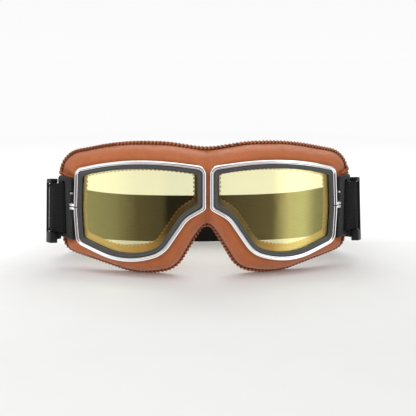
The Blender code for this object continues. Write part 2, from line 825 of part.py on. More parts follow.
def ribbon(name, places, widths, finish):
    """Webbing along a line of places, with rounded long edges."""
    half, wide = STRAP_THICKNESS / 2, STRAP_WIDTH / 2
    low, high = half - wide, wide - half
    section = [(-half, low), (0, -wide), (half, low), (half, high), (0, wide), (-half, high)]
    rows = []
    for k, (place, across) in enumerate(zip(places, widths)):
        ahead = (places[min(k + 1, len(places) - 1)] - places[max(k - 1, 0)]).normalized()
        across = (across - ahead * across.dot(ahead)).normalized()
        side = ahead.cross(across)
        rows.append([place + side * p + across * q for p, q in section])
    return mesh_object(name, rows, finish, close_rows=True, close_stack=False, cap=True)


def make_loop():
    """The strap's end: its outer run, the turn through the slot, and the tail laid inside."""
    outer = [run_point(RUN_LENGTH * (1 - k / 12)) for k in range(13)]
    turn = [bracket_point(b, n, STRAP_Z - drop) for b, n, drop in LOOP_ROUTE]
    tail = [run_point(TAIL_START + (TAIL_END - TAIL_START) * k / 9, LAYER_STEP) for k in range(10)]
    knots = outer[-2:] + turn + tail[:2]
    bend = smooth_line(knots, 1)[1:-1]
    places = outer[:-1] + bend + tail[1:]
    widths = []
    for k, place in enumerate(places):
        b = (place - SCREW_AXIS).dot(ALONG)
        share = max(0.0, min(1.0, (b - TWIST_START) / (TWIST_END - TWIST_START)))
        widths.append(UP.lerp(AXIS, share))
    return pair(ribbon("loop", places, widths, webbing), "strap_end")


def head_route():
    """Right half of the strap behind the run: an arc to the rear, then straight to the centre."""
    start = run_point(RUN_LENGTH + GAP)
    angle = (RUN_LENGTH + GAP) / STRAP_RADIUS
    ahead = RUN_AHEAD * math.cos(angle) - RUN_OUT * math.sin(angle)
    bearing = math.atan2(ahead.y, ahead.x)
    fall = ahead.z / math.hypot(ahead.x, ahead.y)
    radius = (STRAP_REAR - start.y) / (1 + math.cos(bearing))
    arc = radius * (math.pi - bearing)
    straight = start.x - radius * math.sin(bearing)
    floor = STRAP_WIDTH / 2
    places, widths = [], []
    steps = 18
    for run in [0.0, 1.2] + [(arc + straight) * k / steps for k in range(1, steps + 1)]:
        turned_to = bearing + min(run, arc) / radius
        x = start.x - radius * (math.sin(bearing) - math.sin(turned_to)) - max(0.0, run - arc)
        y = start.y + radius * (math.cos(bearing) - math.cos(turned_to))
        t = min(1.0, run / DROP_LENGTH)
        ease = 1 - 3 * t**2 + 2 * t**3
        z = floor + (start.z - floor) * ease + fall * DROP_LENGTH * t * (1 - t) ** 2
        places.append(Vector((x, y, z)))
        widths.append(AXIS.lerp(UP, t * t * (3 - 2 * t)))
    places[-1].x = 0.0
    return places, widths


def make_head_strap():
    places, widths = head_route()
    left = [Vector((-p.x, p.y, p.z)) for p in reversed(places[:-1])]
    left_widths = [Vector((-w.x, w.y, w.z)) for w in reversed(widths[:-1])]
    return smooth(ribbon("head_strap", places + left, widths + left_widths, webbing))


def run_block(name, lengths, inward, width, finish):
    """A block bent to the strap's run: lengths along it, inward range and width range."""
    rows = []
    steps = 5
    for k in range(steps + 1):
        length = lengths[0] + (lengths[1] - lengths[0]) * k / steps
        low_side = [run_point(length, depth, width[0]) for depth in inward]
        high_side = [run_point(length, depth, width[1]) for depth in reversed(inward)]
        rows.append(low_side + high_side)
    return mesh_object(name, rows, finish, close_rows=True, close_stack=False, cap=True)


def make_slider():
    """A three-bar slider on both layers: front and middle bars between them, rear bar outside."""
    half = SLIDER_WINDOW / 2
    between = (STRAP_THICKNESS / 2 + GAP, STRAP_THICKNESS / 2 + GAP + SLIDER_BAR)
    outside = (-between[1], -between[0])
    start, end = SLIDER_FRONT, SLIDER_FRONT + SLIDER_LENGTH
    low, high = -half - SLIDER_HANG, half - SLIDER_HANG
    full = (outside[0], between[1])
    slider = run_block("slider", (start, end), full, (high, high + SLIDER_ARM), black_plastic)
    foot = run_block("slider_foot", (start, end), full, (low - SLIDER_ARM, low), black_plastic)
    reach = (low - 1.0, high + 1.0)
    middle = (start + end - SLIDER_BAR_WIDTH) / 2
    bar_start = start + SLIDER_FRONT_BAR
    bar_end = bar_start + SLIDER_BAR_WIDTH - 0.2
    front_bar = run_block("front_bar", (bar_start, bar_end), between, reach, black_plastic)
    middle_bar = run_block("middle_bar", (middle, middle + SLIDER_BAR_WIDTH), between, reach, black_plastic)
    rear_bar = run_block("rear_bar", (end - SLIDER_BAR_WIDTH, end - 0.2), outside, reach, black_plastic)
    combine(slider, "UNION", front_bar, middle_bar, rear_bar, foot)
    return pair(slider, "strap_slider")


# ---------------------------------------------------------------- assembly


def at_joint(name, place, pieces):
    """Parents pieces to an empty on their joint's axis."""
    empty = bpy.data.objects.new(name, None)
    empty.location = (place.x * MM, (place.y - Y_CENTRE) * MM, place.z * MM)
    parts.objects.link(empty)
    bpy.context.view_layer.update()
    for piece in pieces:
        piece.parent = empty
        piece.matrix_parent_inverse = empty.matrix_world.inverted()
    return empty


def main():
    make_rim()
    pair(eye_ring("gasket", GASKET_SECTION, rubber), "lens_gasket")
    make_lens()
    make_inner_frame()
    make_bridge()
    make_leather()
    make_lining()
    make_foam()
    make_seam()
    brackets = make_bracket()
    screws = make_screw()
    ends = make_loop()
    make_head_strap()
    sliders = make_slider()
    for side, sign in ((0, -1), (1, 1)):
        pivot = Vector((sign * SCREW_AXIS.x, SCREW_AXIS.y, SCREW_Z))
        centre = Vector((sign * RUN_CENTRE.x, RUN_CENTRE.y, RUN_CENTRE.z))
        name = ("left", "right")[side]
        hinge = at_joint(name + "_hinge_axis", pivot, [brackets[side], ends[side]])
        at_joint(name + "_screw_axis", pivot, [screws[side]])
        bend = at_joint(name + "_slide_axis", centre, [sliders[side]])
        bend.parent = hinge
        bend.matrix_parent_inverse = hinge.matrix_world.inverted()


clear_scene()
parts = new_collection("motorcycle_goggles")
cutters = new_collection("cutters")
chrome = material("chrome", (0.82, 0.82, 0.83), 0.08, 1.0)
steel = material("steel", (0.55, 0.55, 0.56), 0.35, 1.0)
rubber = material("rubber", (0.1, 0.1, 0.095), 0.45)
lens_yellow = material("lens_yellow", (0.9, 0.75, 0.2), 0.05)
leather = material("leather", (0.42, 0.14, 0.06), 0.5)
lining = material("lining", (0.36, 0.13, 0.06), 0.7)
foam_grey = material("foam", (0.12, 0.12, 0.12), 0.9)
seam_brown = material("seam", (0.2, 0.06, 0.03), 0.7)
black_plastic = material("black_plastic", (0.03, 0.03, 0.032), 0.4)
webbing = material("webbing", (0.02, 0.02, 0.021), 0.8)
main()
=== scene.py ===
"""Motorcycle goggles: the looks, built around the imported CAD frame. Lengths are millimetres, and places are
(across, depth from the nose, height), until a mesh is made."""

import math
import random

import bmesh
import bpy
from mathutils import Matrix, Vector, noise

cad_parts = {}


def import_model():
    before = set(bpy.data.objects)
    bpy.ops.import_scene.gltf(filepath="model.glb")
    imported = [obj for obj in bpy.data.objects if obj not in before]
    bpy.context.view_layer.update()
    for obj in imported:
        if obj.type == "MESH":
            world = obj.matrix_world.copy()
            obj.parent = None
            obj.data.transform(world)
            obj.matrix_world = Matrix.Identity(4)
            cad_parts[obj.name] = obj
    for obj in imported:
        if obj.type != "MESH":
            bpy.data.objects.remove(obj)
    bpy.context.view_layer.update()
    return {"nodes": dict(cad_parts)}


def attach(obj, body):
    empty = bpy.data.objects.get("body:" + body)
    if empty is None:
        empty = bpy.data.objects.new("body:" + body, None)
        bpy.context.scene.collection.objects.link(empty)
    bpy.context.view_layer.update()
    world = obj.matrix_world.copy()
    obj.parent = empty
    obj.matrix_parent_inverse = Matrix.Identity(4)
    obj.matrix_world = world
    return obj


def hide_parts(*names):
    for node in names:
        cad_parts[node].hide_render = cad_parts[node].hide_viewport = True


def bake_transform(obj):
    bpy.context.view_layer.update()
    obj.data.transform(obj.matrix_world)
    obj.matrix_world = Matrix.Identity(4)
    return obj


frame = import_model()

MM = 0.001
MERGE = 0.02
UP = Vector((0, 0, 1))
REAR = Vector((0, 1, 0))
SIDES = (("left", -1), ("right", 1))

# Front cylinder, eye outline and rear edge: the same driving dimensions as the CAD part.
FACE_RADIUS = 186.0
NOSE_SLOPE = math.radians(5.0)
EYE = [
    (0.4, 76.6, 6.5), (47.7, 82.9, 190.0), (94.4, 72.0, 6.0), (96.6, 43.0, 70.0), (95.2, 19.6, 8.0),
    (54.4, 7.0, 60.0), (28.6, 16.8, 22.0), (12.7, 40.5, 18.0), (0.4, 47.7, 3.5),
]
EYE_KEYS = (0, 2, 4, 5, 6, 8)
EDGE = [
    (0.0, 87.1, 0.0), (4.0, 87.1, 30.0), (27.0, 90.4, 80.0), (56.5, 90.4, 150.0), (102.5, 79.0, 19.0),
    (102.5, 67.5, 6.0), (100.2, 62.0, 6.0), (101.4, 11.6, 9.0), (44.5, -1.5, 60.0), (20.6, 3.0, 18.0),
    (3.3, 33.0, 5.0), (0.0, 33.0, 0.0),
]
EDGE_KEYS = (0, 4, 7, 8, 9, 11)
LEG_COUNTS = (46, 36, 28, 14, 26)
NOSE_COUNT = 22
LEAST_CORNER = 2.6
CORNER_STEPS = 16
EDGE_DEPTH_NOSE = 19.0
EDGE_DEPTH_TEMPLE = 55.0
EDGE_HALF_WIDTH = 102.5
NOSE_LINE = [
    (19.0, 33.0), (10.0, 38.2), (3.5, 43.0), (0.4, 47.2), (0.4, 75.6), (3.5, 80.0), (10.5, 84.3),
    (19.0, 87.1),
]
NOSE_PAD_DEPTH = 17.0
LEATHER_PRESSED = (7.0, -6.0)
GAP = 0.35

# Mask.
LEATHER = 1.0
LINING = 0.8
LEATHER_TUCK = 3.0
LEATHER_FLAT = 0.3
SKIN_ROWS = 16
PAD_FULLNESS = 0.85
NOSE_LEVEL = 0.45
PAD_HOLE_INSET = 8.0
LINING_INSET = 3.7
COVER_PRESSURE, COVER_CAP = 3.5, 1.3
LINING_PRESSURE, LINING_CAP = 2.0, 0.5
CREASE_DEPTH = 0.35
# Distances from the centre plane between which each sheet is smoothed, and the rounds of smoothing.
COVER_SOFTENED = (0.0, 11.0, 40)
LINING_SOFTENED = (90.0, 110.0, 12)
CENTRE_BAND = 4.0
WALL_ROWS, PAD_ROWS = 6, 10
PAD_CROWN = 1.6
LEATHER_BORDER = 2.0
RIDGE_RADIUS = 1.5
RIDGE_INSET = 1.6
RIDGE_SET_BACK = 0.5
STITCH_PITCH = 2.6
STITCH_TURN = (-112, 285)
STITCH_SLANT = 1.7
THREAD_RADIUS = 0.82
THREAD_END = 0.45
LINING_STITCH_PITCH = 2.9
LINING_THREAD_RADIUS = 0.34

# Temple and strap.
SCREW_OFFSET = 2.6
SCREW_Z = 45.0
LUG_HEIGHT = 1.7
LUG_OUTLINE = ((-3.6, 0.2), (1.1, -2.3), (1.1, 1.9), (-3.6, 1.9))
LUG_BEVEL = 0.35
SPLIT = 0.7
SPLIT_OUTLINE = ((-9.0, -4.0), (1.0, -4.0), (1.0, 6.0), (-9.0, 6.0))
BRACKET_HEADING = math.radians(57.0)
BRACKET_LOW, BRACKET_HIGH = 21.5, 64.5
BRACKET_FADE = 9.0
STRAP_WIDTH = 34.6
STRAP_THICKNESS = 1.5
STRAP_Z = 42.5
STRAP_RADIUS = 40.0
STRAP_HEADING = math.radians(44.0)
STRAP_DROOP = math.radians(9.0)
STRAP_LEAN = math.radians(2.5)
DROOP_HEADING = math.radians(80.0)
STRAP_START = (11.2, 2.25)
LOOP_ROUTE = [
    (10.0, 1.75, 0.0), (9.45, 0.9, 0.0), (9.35, -0.2, 0.0), (9.6, -1.4, 0.05), (10.6, -2.3, 0.15),
    (12.6, -2.6, 0.7), (15.6, -2.65, 2.0), (17.4, -2.6, 3.0), (19.0, -2.45, 4.0), (20.8, -1.6, 5.0),
]
TWIST_START, TWIST_END = 20.2, 23.4
RUN_LENGTH = 48.0
TAIL_START, TAIL_END = 12.5, 45.0
TAIL_SAG = 6.3
LAYER_STEP = 3.7
STRAP_REAR = 122.0
DROP_LENGTH = 18.0
REAR_STRETCH = 1.08
REAR_MIDDLE = STRAP_WIDTH * REAR_STRETCH / 2 + 0.1
REAR_OVERLAP = 0.5
REAR_STEPS = 90
RIM_HEIGHT = 3.2
Y_CENTRE = (STRAP_REAR + STRAP_THICKNESS / 2 - RIM_HEIGHT) / 2


# ---- outlines ----


def heading(angle):
    return Vector((math.cos(angle), math.sin(angle), 0))


def around(corners, i):
    return corners[i - 1], corners[i], corners[(i + 1) % len(corners)]


def corner_arc(before, corner, after):
    """Points of one round corner, evenly spaced from the side before it to the side after it."""
    middle, radius = Vector(corner[:2]), corner[2]
    back = (Vector(before[:2]) - middle).normalized()
    ahead = (Vector(after[:2]) - middle).normalized()
    half = back.angle(ahead) / 2
    centre = middle + (back + ahead).normalized() * (radius / math.sin(half))
    arm = middle + back * (radius / math.tan(half)) - centre
    turn = math.pi - 2 * half
    if back.x * ahead.y - back.y * ahead.x < 0:
        turn = -turn
    points = []
    for step in range(CORNER_STEPS + 1):
        turned_arm = arm.copy()
        turned_arm.rotate(Matrix.Rotation(-turn * step / CORNER_STEPS, 2))
        points.append(centre + turned_arm)
    return points


def inset(corners, distance):
    """The same outline moved inward by a distance, with its corner radii changed to suit."""
    sides = []
    for i, corner in enumerate(corners):
        start, end = Vector(corner[:2]), Vector(corners[(i + 1) % len(corners)][:2])
        along = (end - start).normalized()
        sides.append((start + Vector((along.y, -along.x)) * distance, along))
    moved = []
    for i, corner in enumerate(corners):
        (p, u), (q, v) = sides[i - 1], sides[i]
        cross = u.x * v.y - u.y * v.x
        step = ((q - p).x * v.y - (q - p).y * v.x) / cross
        radius = corner[2] - distance if cross < 0 else corner[2] + distance
        moved.append((*(p + u * step), max(radius, LEAST_CORNER)))
    return moved


def cut_legs(corners, keys, closed):
    """The rounded outline in pieces, cut at the middle of each key corner."""
    points, cuts = [], {}
    for i, corner in enumerate(corners):
        if corner[2]:
            cuts[i] = len(points) + CORNER_STEPS // 2
            points += corner_arc(*around(corners, i))
        else:
            cuts[i] = len(points)
            points.append(Vector(corner[:2]))
    legs = [points[cuts[a] : cuts[b] + 1] for a, b in zip(keys, keys[1:])]
    if closed:
        legs.append(points[cuts[keys[-1]] :] + points[: cuts[keys[0]] + 1])
    return legs


def walk(points, count=None, pitch=None):
    """Evenly spaced (place, direction) along a line of points, from its start and without its end."""
    lengths = [0.0]
    for a, b in zip(points, points[1:]):
        lengths.append(lengths[-1] + (b - a).length)
    count = count or round(lengths[-1] / pitch)
    found, k = [], 0
    for step in range(count):
        target = lengths[-1] * step / count
        while lengths[k + 1] < target:
            k += 1
        start, end = points[k], points[k + 1]
        share = (target - lengths[k]) / (lengths[k + 1] - lengths[k])
        found.append((start.lerp(end, share), (end - start).normalized()))
    return found


def resample(points, count):
    return [place for place, _ in walk(points, count)]


def smooth_line(knots, per_span):
    """A Catmull-Rom curve through the knots."""
    ends = [knots[0] * 2 - knots[1], *knots, knots[-1] * 2 - knots[-2]]
    points = []
    for p0, p1, p2, p3 in zip(ends, ends[1:], ends[2:], ends[3:]):
        for k in range(per_span):
            t = k / per_span
            bend = (p0 * 2 - p1 * 5 + p2 * 4 - p3) * t**2
            twist = (p1 * 3 - p0 - p2 * 3 + p3) * t**3
            points.append(p1 + ((p2 - p0) * t + bend + twist) / 2)
    return [*points, knots[-1]]


def face_slope(s):
    return NOSE_SLOPE + s / FACE_RADIUS


def face_point(s, z, n):
    """Place on the front cylinder: s along it from the nose, z up, n out of it."""
    slope = face_slope(s)
    x = FACE_RADIUS * (math.sin(slope) - math.sin(NOSE_SLOPE)) + n * math.sin(slope)
    y = FACE_RADIUS * (math.cos(NOSE_SLOPE) - math.cos(slope)) - n * math.cos(slope)
    return Vector((x, y, z))


def edge_depth(x):
    """Depth of the mask's rear edge, which follows the face back towards the temples."""
    return EDGE_DEPTH_NOSE + (EDGE_DEPTH_TEMPLE - EDGE_DEPTH_NOSE) * (x / EDGE_HALF_WIDTH) ** 2


def eye_flat(distance, counts):
    legs = cut_legs(inset(EYE, distance), EYE_KEYS, True)
    return [point for leg, count in zip(legs, counts) for point in resample(leg, count)]


def eye_loop(distance, n):
    """Points round the eye at an inset and a height off the face, in step with edge_loop."""
    return [face_point(s, z, n) for s, z in eye_flat(distance, (*LEG_COUNTS, NOSE_COUNT))]


def edge_only():
    """The rear edge from the brow's centre to the nose arch, with both ends."""
    legs = cut_legs(EDGE, EDGE_KEYS, False)
    flat = [point for leg, count in zip(legs, LEG_COUNTS) for point in resample(leg, count)]
    flat.append(legs[-1][-1])
    return [Vector((x, edge_depth(x), z)) for x, z in flat]


def edge_loop():
    """The half mask's outer loop: its rear edge, then up the centre line between the eyes."""
    line = smooth_line([Vector((0, depth, height)) for depth, height in NOSE_LINE], 8)
    return edge_only()[:-1] + resample(line, NOSE_COUNT)


SCREW_AXIS = face_point(EYE[3][0] - 0.3 + SCREW_OFFSET, SCREW_Z, 0.0)
ALONG = heading(BRACKET_HEADING)
OUT = ALONG.cross(UP)


def bracket_point(b, n, z):
    """Place by the bracket: b along its plate from the screw, n out of it."""
    return Vector((SCREW_AXIS.x, SCREW_AXIS.y, 0)) + ALONG * b + OUT * n + UP * z


def eased(*shares):
    """The least of the shares, held between 0 and 1, with soft ends."""
    share = max(0.0, min(1.0, *shares))
    return share * share * (3 - 2 * share)


def under_bracket(z):
    """1 where the bracket lies on the leather, 0 clear above and below it."""
    above, below = z - BRACKET_LOW + BRACKET_FADE, BRACKET_HIGH + BRACKET_FADE - z
    return eased(above / BRACKET_FADE, below / BRACKET_FADE)


def toward(start, end, distance):
    """start moved a distance towards end in the front view, staying on the centre plane if it is there."""
    step = Vector((0 if start.x == 0 else end.x - start.x, 0, end.z - start.z))
    return start + step.normalized() * distance


# ---- meshes ----


def world(place, sign=1):
    return Vector((sign * place.x, place.y - Y_CENTRE, place.z)) * MM


def add_object(name, data):
    made = bpy.data.objects.new(name, data)
    bpy.context.scene.collection.objects.link(made)
    return made


def loft(name, rows, finish, sign=1, close_stack=False, cap=False):
    """A mesh with faces between closed rows of places, mirrored to the other side when sign is -1."""
    mesh = bpy.data.meshes.new(name)
    count = len(rows[0])
    vertices = [world(place, sign) for row in rows for place in row]
    faces = []
    stack = len(rows) if close_stack else len(rows) - 1
    for k in range(stack):
        base, above = k * count, (k + 1) % len(rows) * count
        for i in range(count):
            j = (i + 1) % count
            faces.append((base + i, base + j, above + j, above + i))
    if cap:
        faces.append(tuple(reversed(range(count))))
        faces.append(tuple(range(len(vertices) - count, len(vertices))))
    if sign < 0:
        faces = [tuple(reversed(face)) for face in faces]
    mesh.from_pydata(vertices, [], faces)
    mesh.materials.append(finish)
    return add_object(name, mesh)


def tidy_normals(piece, angle=40):
    """Faces out, shaded smooth except across edges sharper than the angle."""
    shell = bmesh.new()
    shell.from_mesh(piece.data)
    bmesh.ops.recalc_face_normals(shell, faces=shell.faces)
    shell.to_mesh(piece.data)
    shell.free()
    piece.data.shade_smooth()
    piece.data.set_sharp_from_angle(angle=math.radians(angle))
    return piece


def apply_modifiers(piece):
    graph = bpy.context.evaluated_depsgraph_get()
    mesh = bpy.data.meshes.new_from_object(piece.evaluated_get(graph))
    piece.modifiers.clear()
    piece.data = mesh
    return piece


def bevel(piece, width, **settings):
    """Rounded edges, as a modifier."""
    soft = piece.modifiers.new("edge", "BEVEL")
    soft.width = width * MM
    soft.segments = 3
    for key, value in settings.items():
        setattr(soft, key, value)


def joined(name, pieces):
    """One object from several meshes that share their finish."""
    whole = bmesh.new()
    for piece in pieces:
        whole.from_mesh(piece.data)
        finish = piece.data.materials[0]
        bpy.data.objects.remove(piece)
    mesh = bpy.data.meshes.new(name)
    whole.to_mesh(mesh)
    whole.free()
    mesh.materials.append(finish)
    return add_object(name, mesh)


def circle(centre, right, over, radius, sides):
    """Places round a circle in the plane of two directions."""
    places = []
    for i in range(sides):
        angle = 2 * math.pi * i / sides
        places.append(centre + right * (math.cos(angle) * radius) + over * (math.sin(angle) * radius))
    return places


def thread(places, radius, finish, sign=1):
    """One stitch: a six-sided tube along a line of places, narrower at both ends."""
    rows = []
    last = len(places) - 1
    for k, place in enumerate(places):
        ahead = (places[min(k + 1, last)] - places[max(k - 1, 0)]).normalized()
        guide = UP if abs(ahead.z) < 0.9 else REAR
        right = ahead.cross(guide).normalized()
        size = radius * (THREAD_END if k in (0, last) else 1.0)
        rows.append(circle(place, right, right.cross(ahead), size, 6))
    return loft("stitch", rows, finish, sign, cap=True)


# ---- materials ----

# Repeats of the webbing, in millimetres along its UVs.
CORD_PITCH = 1.05
PICK_PITCH = 0.8
# Stretches of the floor, in metres, over which its painted light and shade change: across, in front and behind;
# and far away, where it turns to a glow.
FLOOR_ACROSS = (-0.22, 0.22)
FLOOR_AHEAD = (-0.2, 0.03)
FLOOR_STEP = (0.052, 0.092)
FLOOR_EDGE = (0.3, 1.1)
FLOOR_REACH = 60.0


class Tree:
    """Short names for building a node tree."""

    def __init__(self, tree):
        self.tree = tree

    def add(self, kind, inputs=(), **settings):
        node = self.tree.nodes.new(kind)
        for key, value in settings.items():
            setattr(node, key, value)
        self.fill(node, dict(inputs))
        return node

    def fill(self, node, inputs):
        for socket, value in inputs.items():
            if isinstance(value, bpy.types.NodeSocket):
                self.tree.links.new(value, node.inputs[socket])
            else:
                node.inputs[socket].default_value = value

    def place(self):
        return self.add("ShaderNodeTexCoord").outputs["Object"]

    def noise(self, scale, detail=4.0, roughness=0.55, vector=None):
        inputs = {"Vector": vector or self.place(), "Scale": scale}
        inputs.update(Detail=detail, Roughness=roughness)
        return self.add("ShaderNodeTexNoise", inputs).outputs["Fac"]

    def remap(self, value, low, high, to_low, to_high):
        inputs = {0: value, 1: low, 2: high, 3: to_low, 4: to_high}
        return self.add("ShaderNodeMapRange", inputs).outputs[0]

    def mix(self, share, a, b, blend="MIX"):
        inputs = {0: share, 6: a, 7: b}
        return self.add("ShaderNodeMix", inputs, data_type="RGBA", blend_type=blend).outputs[2]

    def blend(self, share, first, second):
        inputs = {0: share, 1: first.outputs[0], 2: second.outputs[0]}
        return self.add("ShaderNodeMixShader", inputs)

    def show(self, shader, output):
        self.fill(self.tree.nodes[output], {"Surface": shader.outputs[0]})

    def math(self, operation, a, b=0.0):
        return self.add("ShaderNodeMath", {0: a, 1: b}, operation=operation).outputs[0]

    def bump(self, height, strength, distance, below=None):
        inputs = {"Height": height, "Strength": strength, "Distance": distance}
        if below:
            inputs["Normal"] = below
        return self.add("ShaderNodeBump", inputs).outputs["Normal"]


class Nodes(Tree):
    """One material with a Principled shader."""

    def __init__(self, name, specular=0.5):
        self.material = bpy.data.materials.new(name)
        self.material.use_nodes = True
        super().__init__(self.material.node_tree)
        self.shader = self.tree.nodes["Principled BSDF"]
        self.shader.inputs["Specular IOR Level"].default_value = specular

    def set(self, **values):
        self.fill(self.shader, {key.replace("_", " ").title(): value for key, value in values.items()})


def tint(red, green, blue):
    return (red, green, blue, 1.0)


def leather_material(name, light, dark, roughness, fold=0.55, fold_tone=0.5):
    """Pebbled, slightly oiled leather: cell grain, soft creases, and mottled colour, with painted shade that
    darkens it in folds where the shade attribute is low.
    """
    n = Nodes(name, 0.25)
    pattern = {"Vector": n.place(), "Scale": 1250.0}
    cells = n.add("ShaderNodeTexVoronoi", pattern, feature="DISTANCE_TO_EDGE")
    grain = n.remap(cells.outputs["Distance"], 0.0, 0.32, 0.0, 1.0)
    fine = n.noise(5200.0, 3.0)
    mottle = n.noise(95.0, 5.0, 0.6)
    colour = n.mix(n.remap(mottle, 0.3, 0.72, 0.0, 1.0), tint(*dark), tint(*light))
    crease = n.mix(n.remap(grain, 0.0, 0.35, 0.30, 0.0), colour, tint(*[c * 0.45 for c in dark]))
    # Painted shade: where the stored shade is low, the colour moves by up to the fold share towards fold_tone
    # times the dark tone.
    painted_shade = n.add("ShaderNodeAttribute", attribute_name="shade").outputs["Fac"]
    shaded = n.mix(n.remap(painted_shade, 0.0, 1.0, fold, 0.0), crease, tint(*[c * fold_tone for c in dark]))
    rough = n.remap(n.noise(240.0, 3.0), 0.3, 0.7, roughness - 0.07, roughness + 0.1)
    soft = n.bump(n.noise(210.0, 3.0), 0.35, 0.0006)
    pebbles = n.bump(grain, 0.34, 0.00016, soft)
    n.set(base_color=shaded, roughness=rough, normal=n.bump(fine, 0.12, 0.0001, pebbles))
    return n.material


def chrome_material():
    n = Nodes("polished_chrome")
    smudge = n.noise(70.0, 4.0)
    n.set(base_color=tint(0.86, 0.86, 0.87), metallic=1.0)
    n.set(roughness=n.remap(smudge, 0.35, 0.75, 0.035, 0.11))
    n.set(normal=n.bump(n.noise(330.0, 2.0), 0.05, 0.0003))
    return n.material


def steel_material():
    n = Nodes("brushed_steel")
    brushed = n.add("ShaderNodeMapping", {"Vector": n.place(), "Scale": (400.0, 400.0, 5200.0)})
    streaks = n.noise(1.0, 3.0, 0.5, brushed.outputs[0])
    n.set(base_color=tint(0.55, 0.55, 0.56), metallic=1.0)
    n.set(roughness=n.remap(streaks, 0.3, 0.7, 0.24, 0.42), normal=n.bump(streaks, 0.1, 0.0001))
    return n.material


def rubber_material():
    n = Nodes("gasket_rubber")
    colour = n.mix(n.noise(160.0, 4.0), tint(0.042, 0.042, 0.041), tint(0.066, 0.065, 0.061))
    n.set(base_color=colour, roughness=n.remap(n.noise(700.0, 3.0), 0.3, 0.7, 0.34, 0.5))
    n.set(normal=n.bump(n.noise(2600.0, 3.0), 0.12, 0.0001))
    return n.material


def lens_material():
    """Thin tinted polycarbonate with a mirror coating: clear tint mixed with a warm gloss."""
    n = Nodes("tinted_lens")
    n.tree.nodes.remove(n.shader)
    clear = n.add("ShaderNodeBsdfTransparent", {"Color": tint(0.93, 0.92, 0.74)})
    haze = n.remap(n.noise(60.0, 3.0), 0.3, 0.7, 0.008, 0.03)
    gloss = n.add("ShaderNodeBsdfGlossy", {"Color": tint(1.0, 0.91, 0.38), "Roughness": haze})
    edge = n.add("ShaderNodeLayerWeight", {"Blend": 0.2}).outputs["Fresnel"]
    share = n.remap(edge, 0.0, 1.0, 0.10, 0.75)
    n.show(n.blend(share, clear, gloss), "Material Output")
    return n.material


def plastic_material():
    n = Nodes("moulded_plastic", 0.25)
    colour = n.mix(n.noise(120.0, 4.0), tint(0.010, 0.010, 0.0105), tint(0.018, 0.018, 0.0185))
    n.set(base_color=colour, roughness=n.remap(n.noise(420.0, 3.0), 0.3, 0.7, 0.38, 0.52))
    n.set(normal=n.bump(n.noise(3400.0, 3.0), 0.16, 0.0001))
    return n.material


def webbing_material():
    """Woven elastic: cords along the strap crossed by finer picks, with fuzz and lint."""
    n = Nodes("woven_elastic", 0.15)
    place = n.add("ShaderNodeUVMap", uv_map="strap").outputs[0]
    apart = n.add("ShaderNodeSeparateXYZ", {0: place})
    cords = n.math("SINE", n.math("MULTIPLY", apart.outputs[1], 2 * math.pi / CORD_PITCH))
    picks = n.math("SINE", n.math("MULTIPLY", apart.outputs[0], 2 * math.pi / PICK_PITCH))
    raised = n.remap(picks, -1.0, 1.0, 0.35, 1.0)
    weave = n.math("MULTIPLY", n.remap(cords, -1.0, 1.0, 0.25, 1.0), raised)
    fuzz = n.noise(2600.0, 5.0, 0.7)
    depth = n.remap(weave, 0.1, 0.9, 0.0, 1.0)
    colour = n.mix(depth, tint(0.003, 0.003, 0.003), tint(0.017, 0.0165, 0.016))
    linted = n.mix(n.remap(fuzz, 0.62, 0.78, 0.0, 0.5), colour, tint(0.055, 0.053, 0.05))
    n.set(base_color=linted, roughness=n.remap(fuzz, 0.3, 0.7, 0.78, 0.95))
    n.set(normal=n.bump(fuzz, 0.5, 0.0002, n.bump(weave, 0.9, 0.00035)))
    return n.material


def thread_material(name, colour):
    """Waxed thread with a slanted twist."""
    n = Nodes(name)
    pattern = {"Vector": n.place(), "Scale": 900.0, "Distortion": 2.0}
    strand = n.add("ShaderNodeTexWave", pattern, bands_direction="DIAGONAL").outputs["Fac"]
    n.set(base_color=n.mix(strand, tint(*[c * 0.55 for c in colour]), tint(*colour)))
    n.set(roughness=n.remap(strand, 0.0, 1.0, 0.75, 0.55), normal=n.bump(strand, 0.5, 0.00012))
    return n.material


def floor_material():
    """A pale sweep with painted light and shade, darker in front and on the right and brighter behind the
    goggles, that glows like its surroundings far away.
    """
    n = Nodes("pale_sweep", 0.1)
    apart = n.add("ShaderNodeSeparateXYZ", {0: n.place()})
    behind = n.remap(apart.outputs[1], *FLOOR_STEP, 0.0, 1.0)
    speckle = n.remap(n.noise(40.0, 3.0), 0.3, 0.7, 0.985, 1.0)
    right = n.remap(apart.outputs[0], *FLOOR_ACROSS, 0.0, 1.0)
    near = n.remap(apart.outputs[1], *FLOOR_AHEAD, 0.0, 1.0)
    # Painted shade: the floor is darker in front of the goggles and on the right; painted light behind them.
    front = n.mix(right, tint(0.72, 0.72, 0.718), tint(0.66, 0.66, 0.655))
    middle = n.mix(right, tint(0.86, 0.86, 0.858), tint(0.75, 0.75, 0.745))
    colour = n.mix(behind, n.mix(near, front, middle), tint(0.84, 0.84, 0.84))
    n.set(base_color=n.mix(1.0, colour, speckle, "MULTIPLY"), roughness=0.8)
    away = n.add("ShaderNodeVectorMath", {0: n.place()}, operation="LENGTH").outputs["Value"]
    glow = n.add("ShaderNodeEmission", {"Color": tint(0.97, 0.97, 0.97)})
    share = n.remap(away, *FLOOR_EDGE, 0.0, 1.0)
    n.show(n.blend(share, n.shader, glow), "Material Output")
    return n.material


leather_tan = leather_material("tan_leather", (0.465, 0.137, 0.044), (0.385, 0.108, 0.034), 0.5)
# Strong painted shade on the lining: where its shade is low it goes almost all the way to a tenth of its dark
# tone.
leather_lining = leather_material("lining_leather", (0.74, 0.42, 0.09), (0.60, 0.30, 0.06), 0.6, 0.97, 0.1)
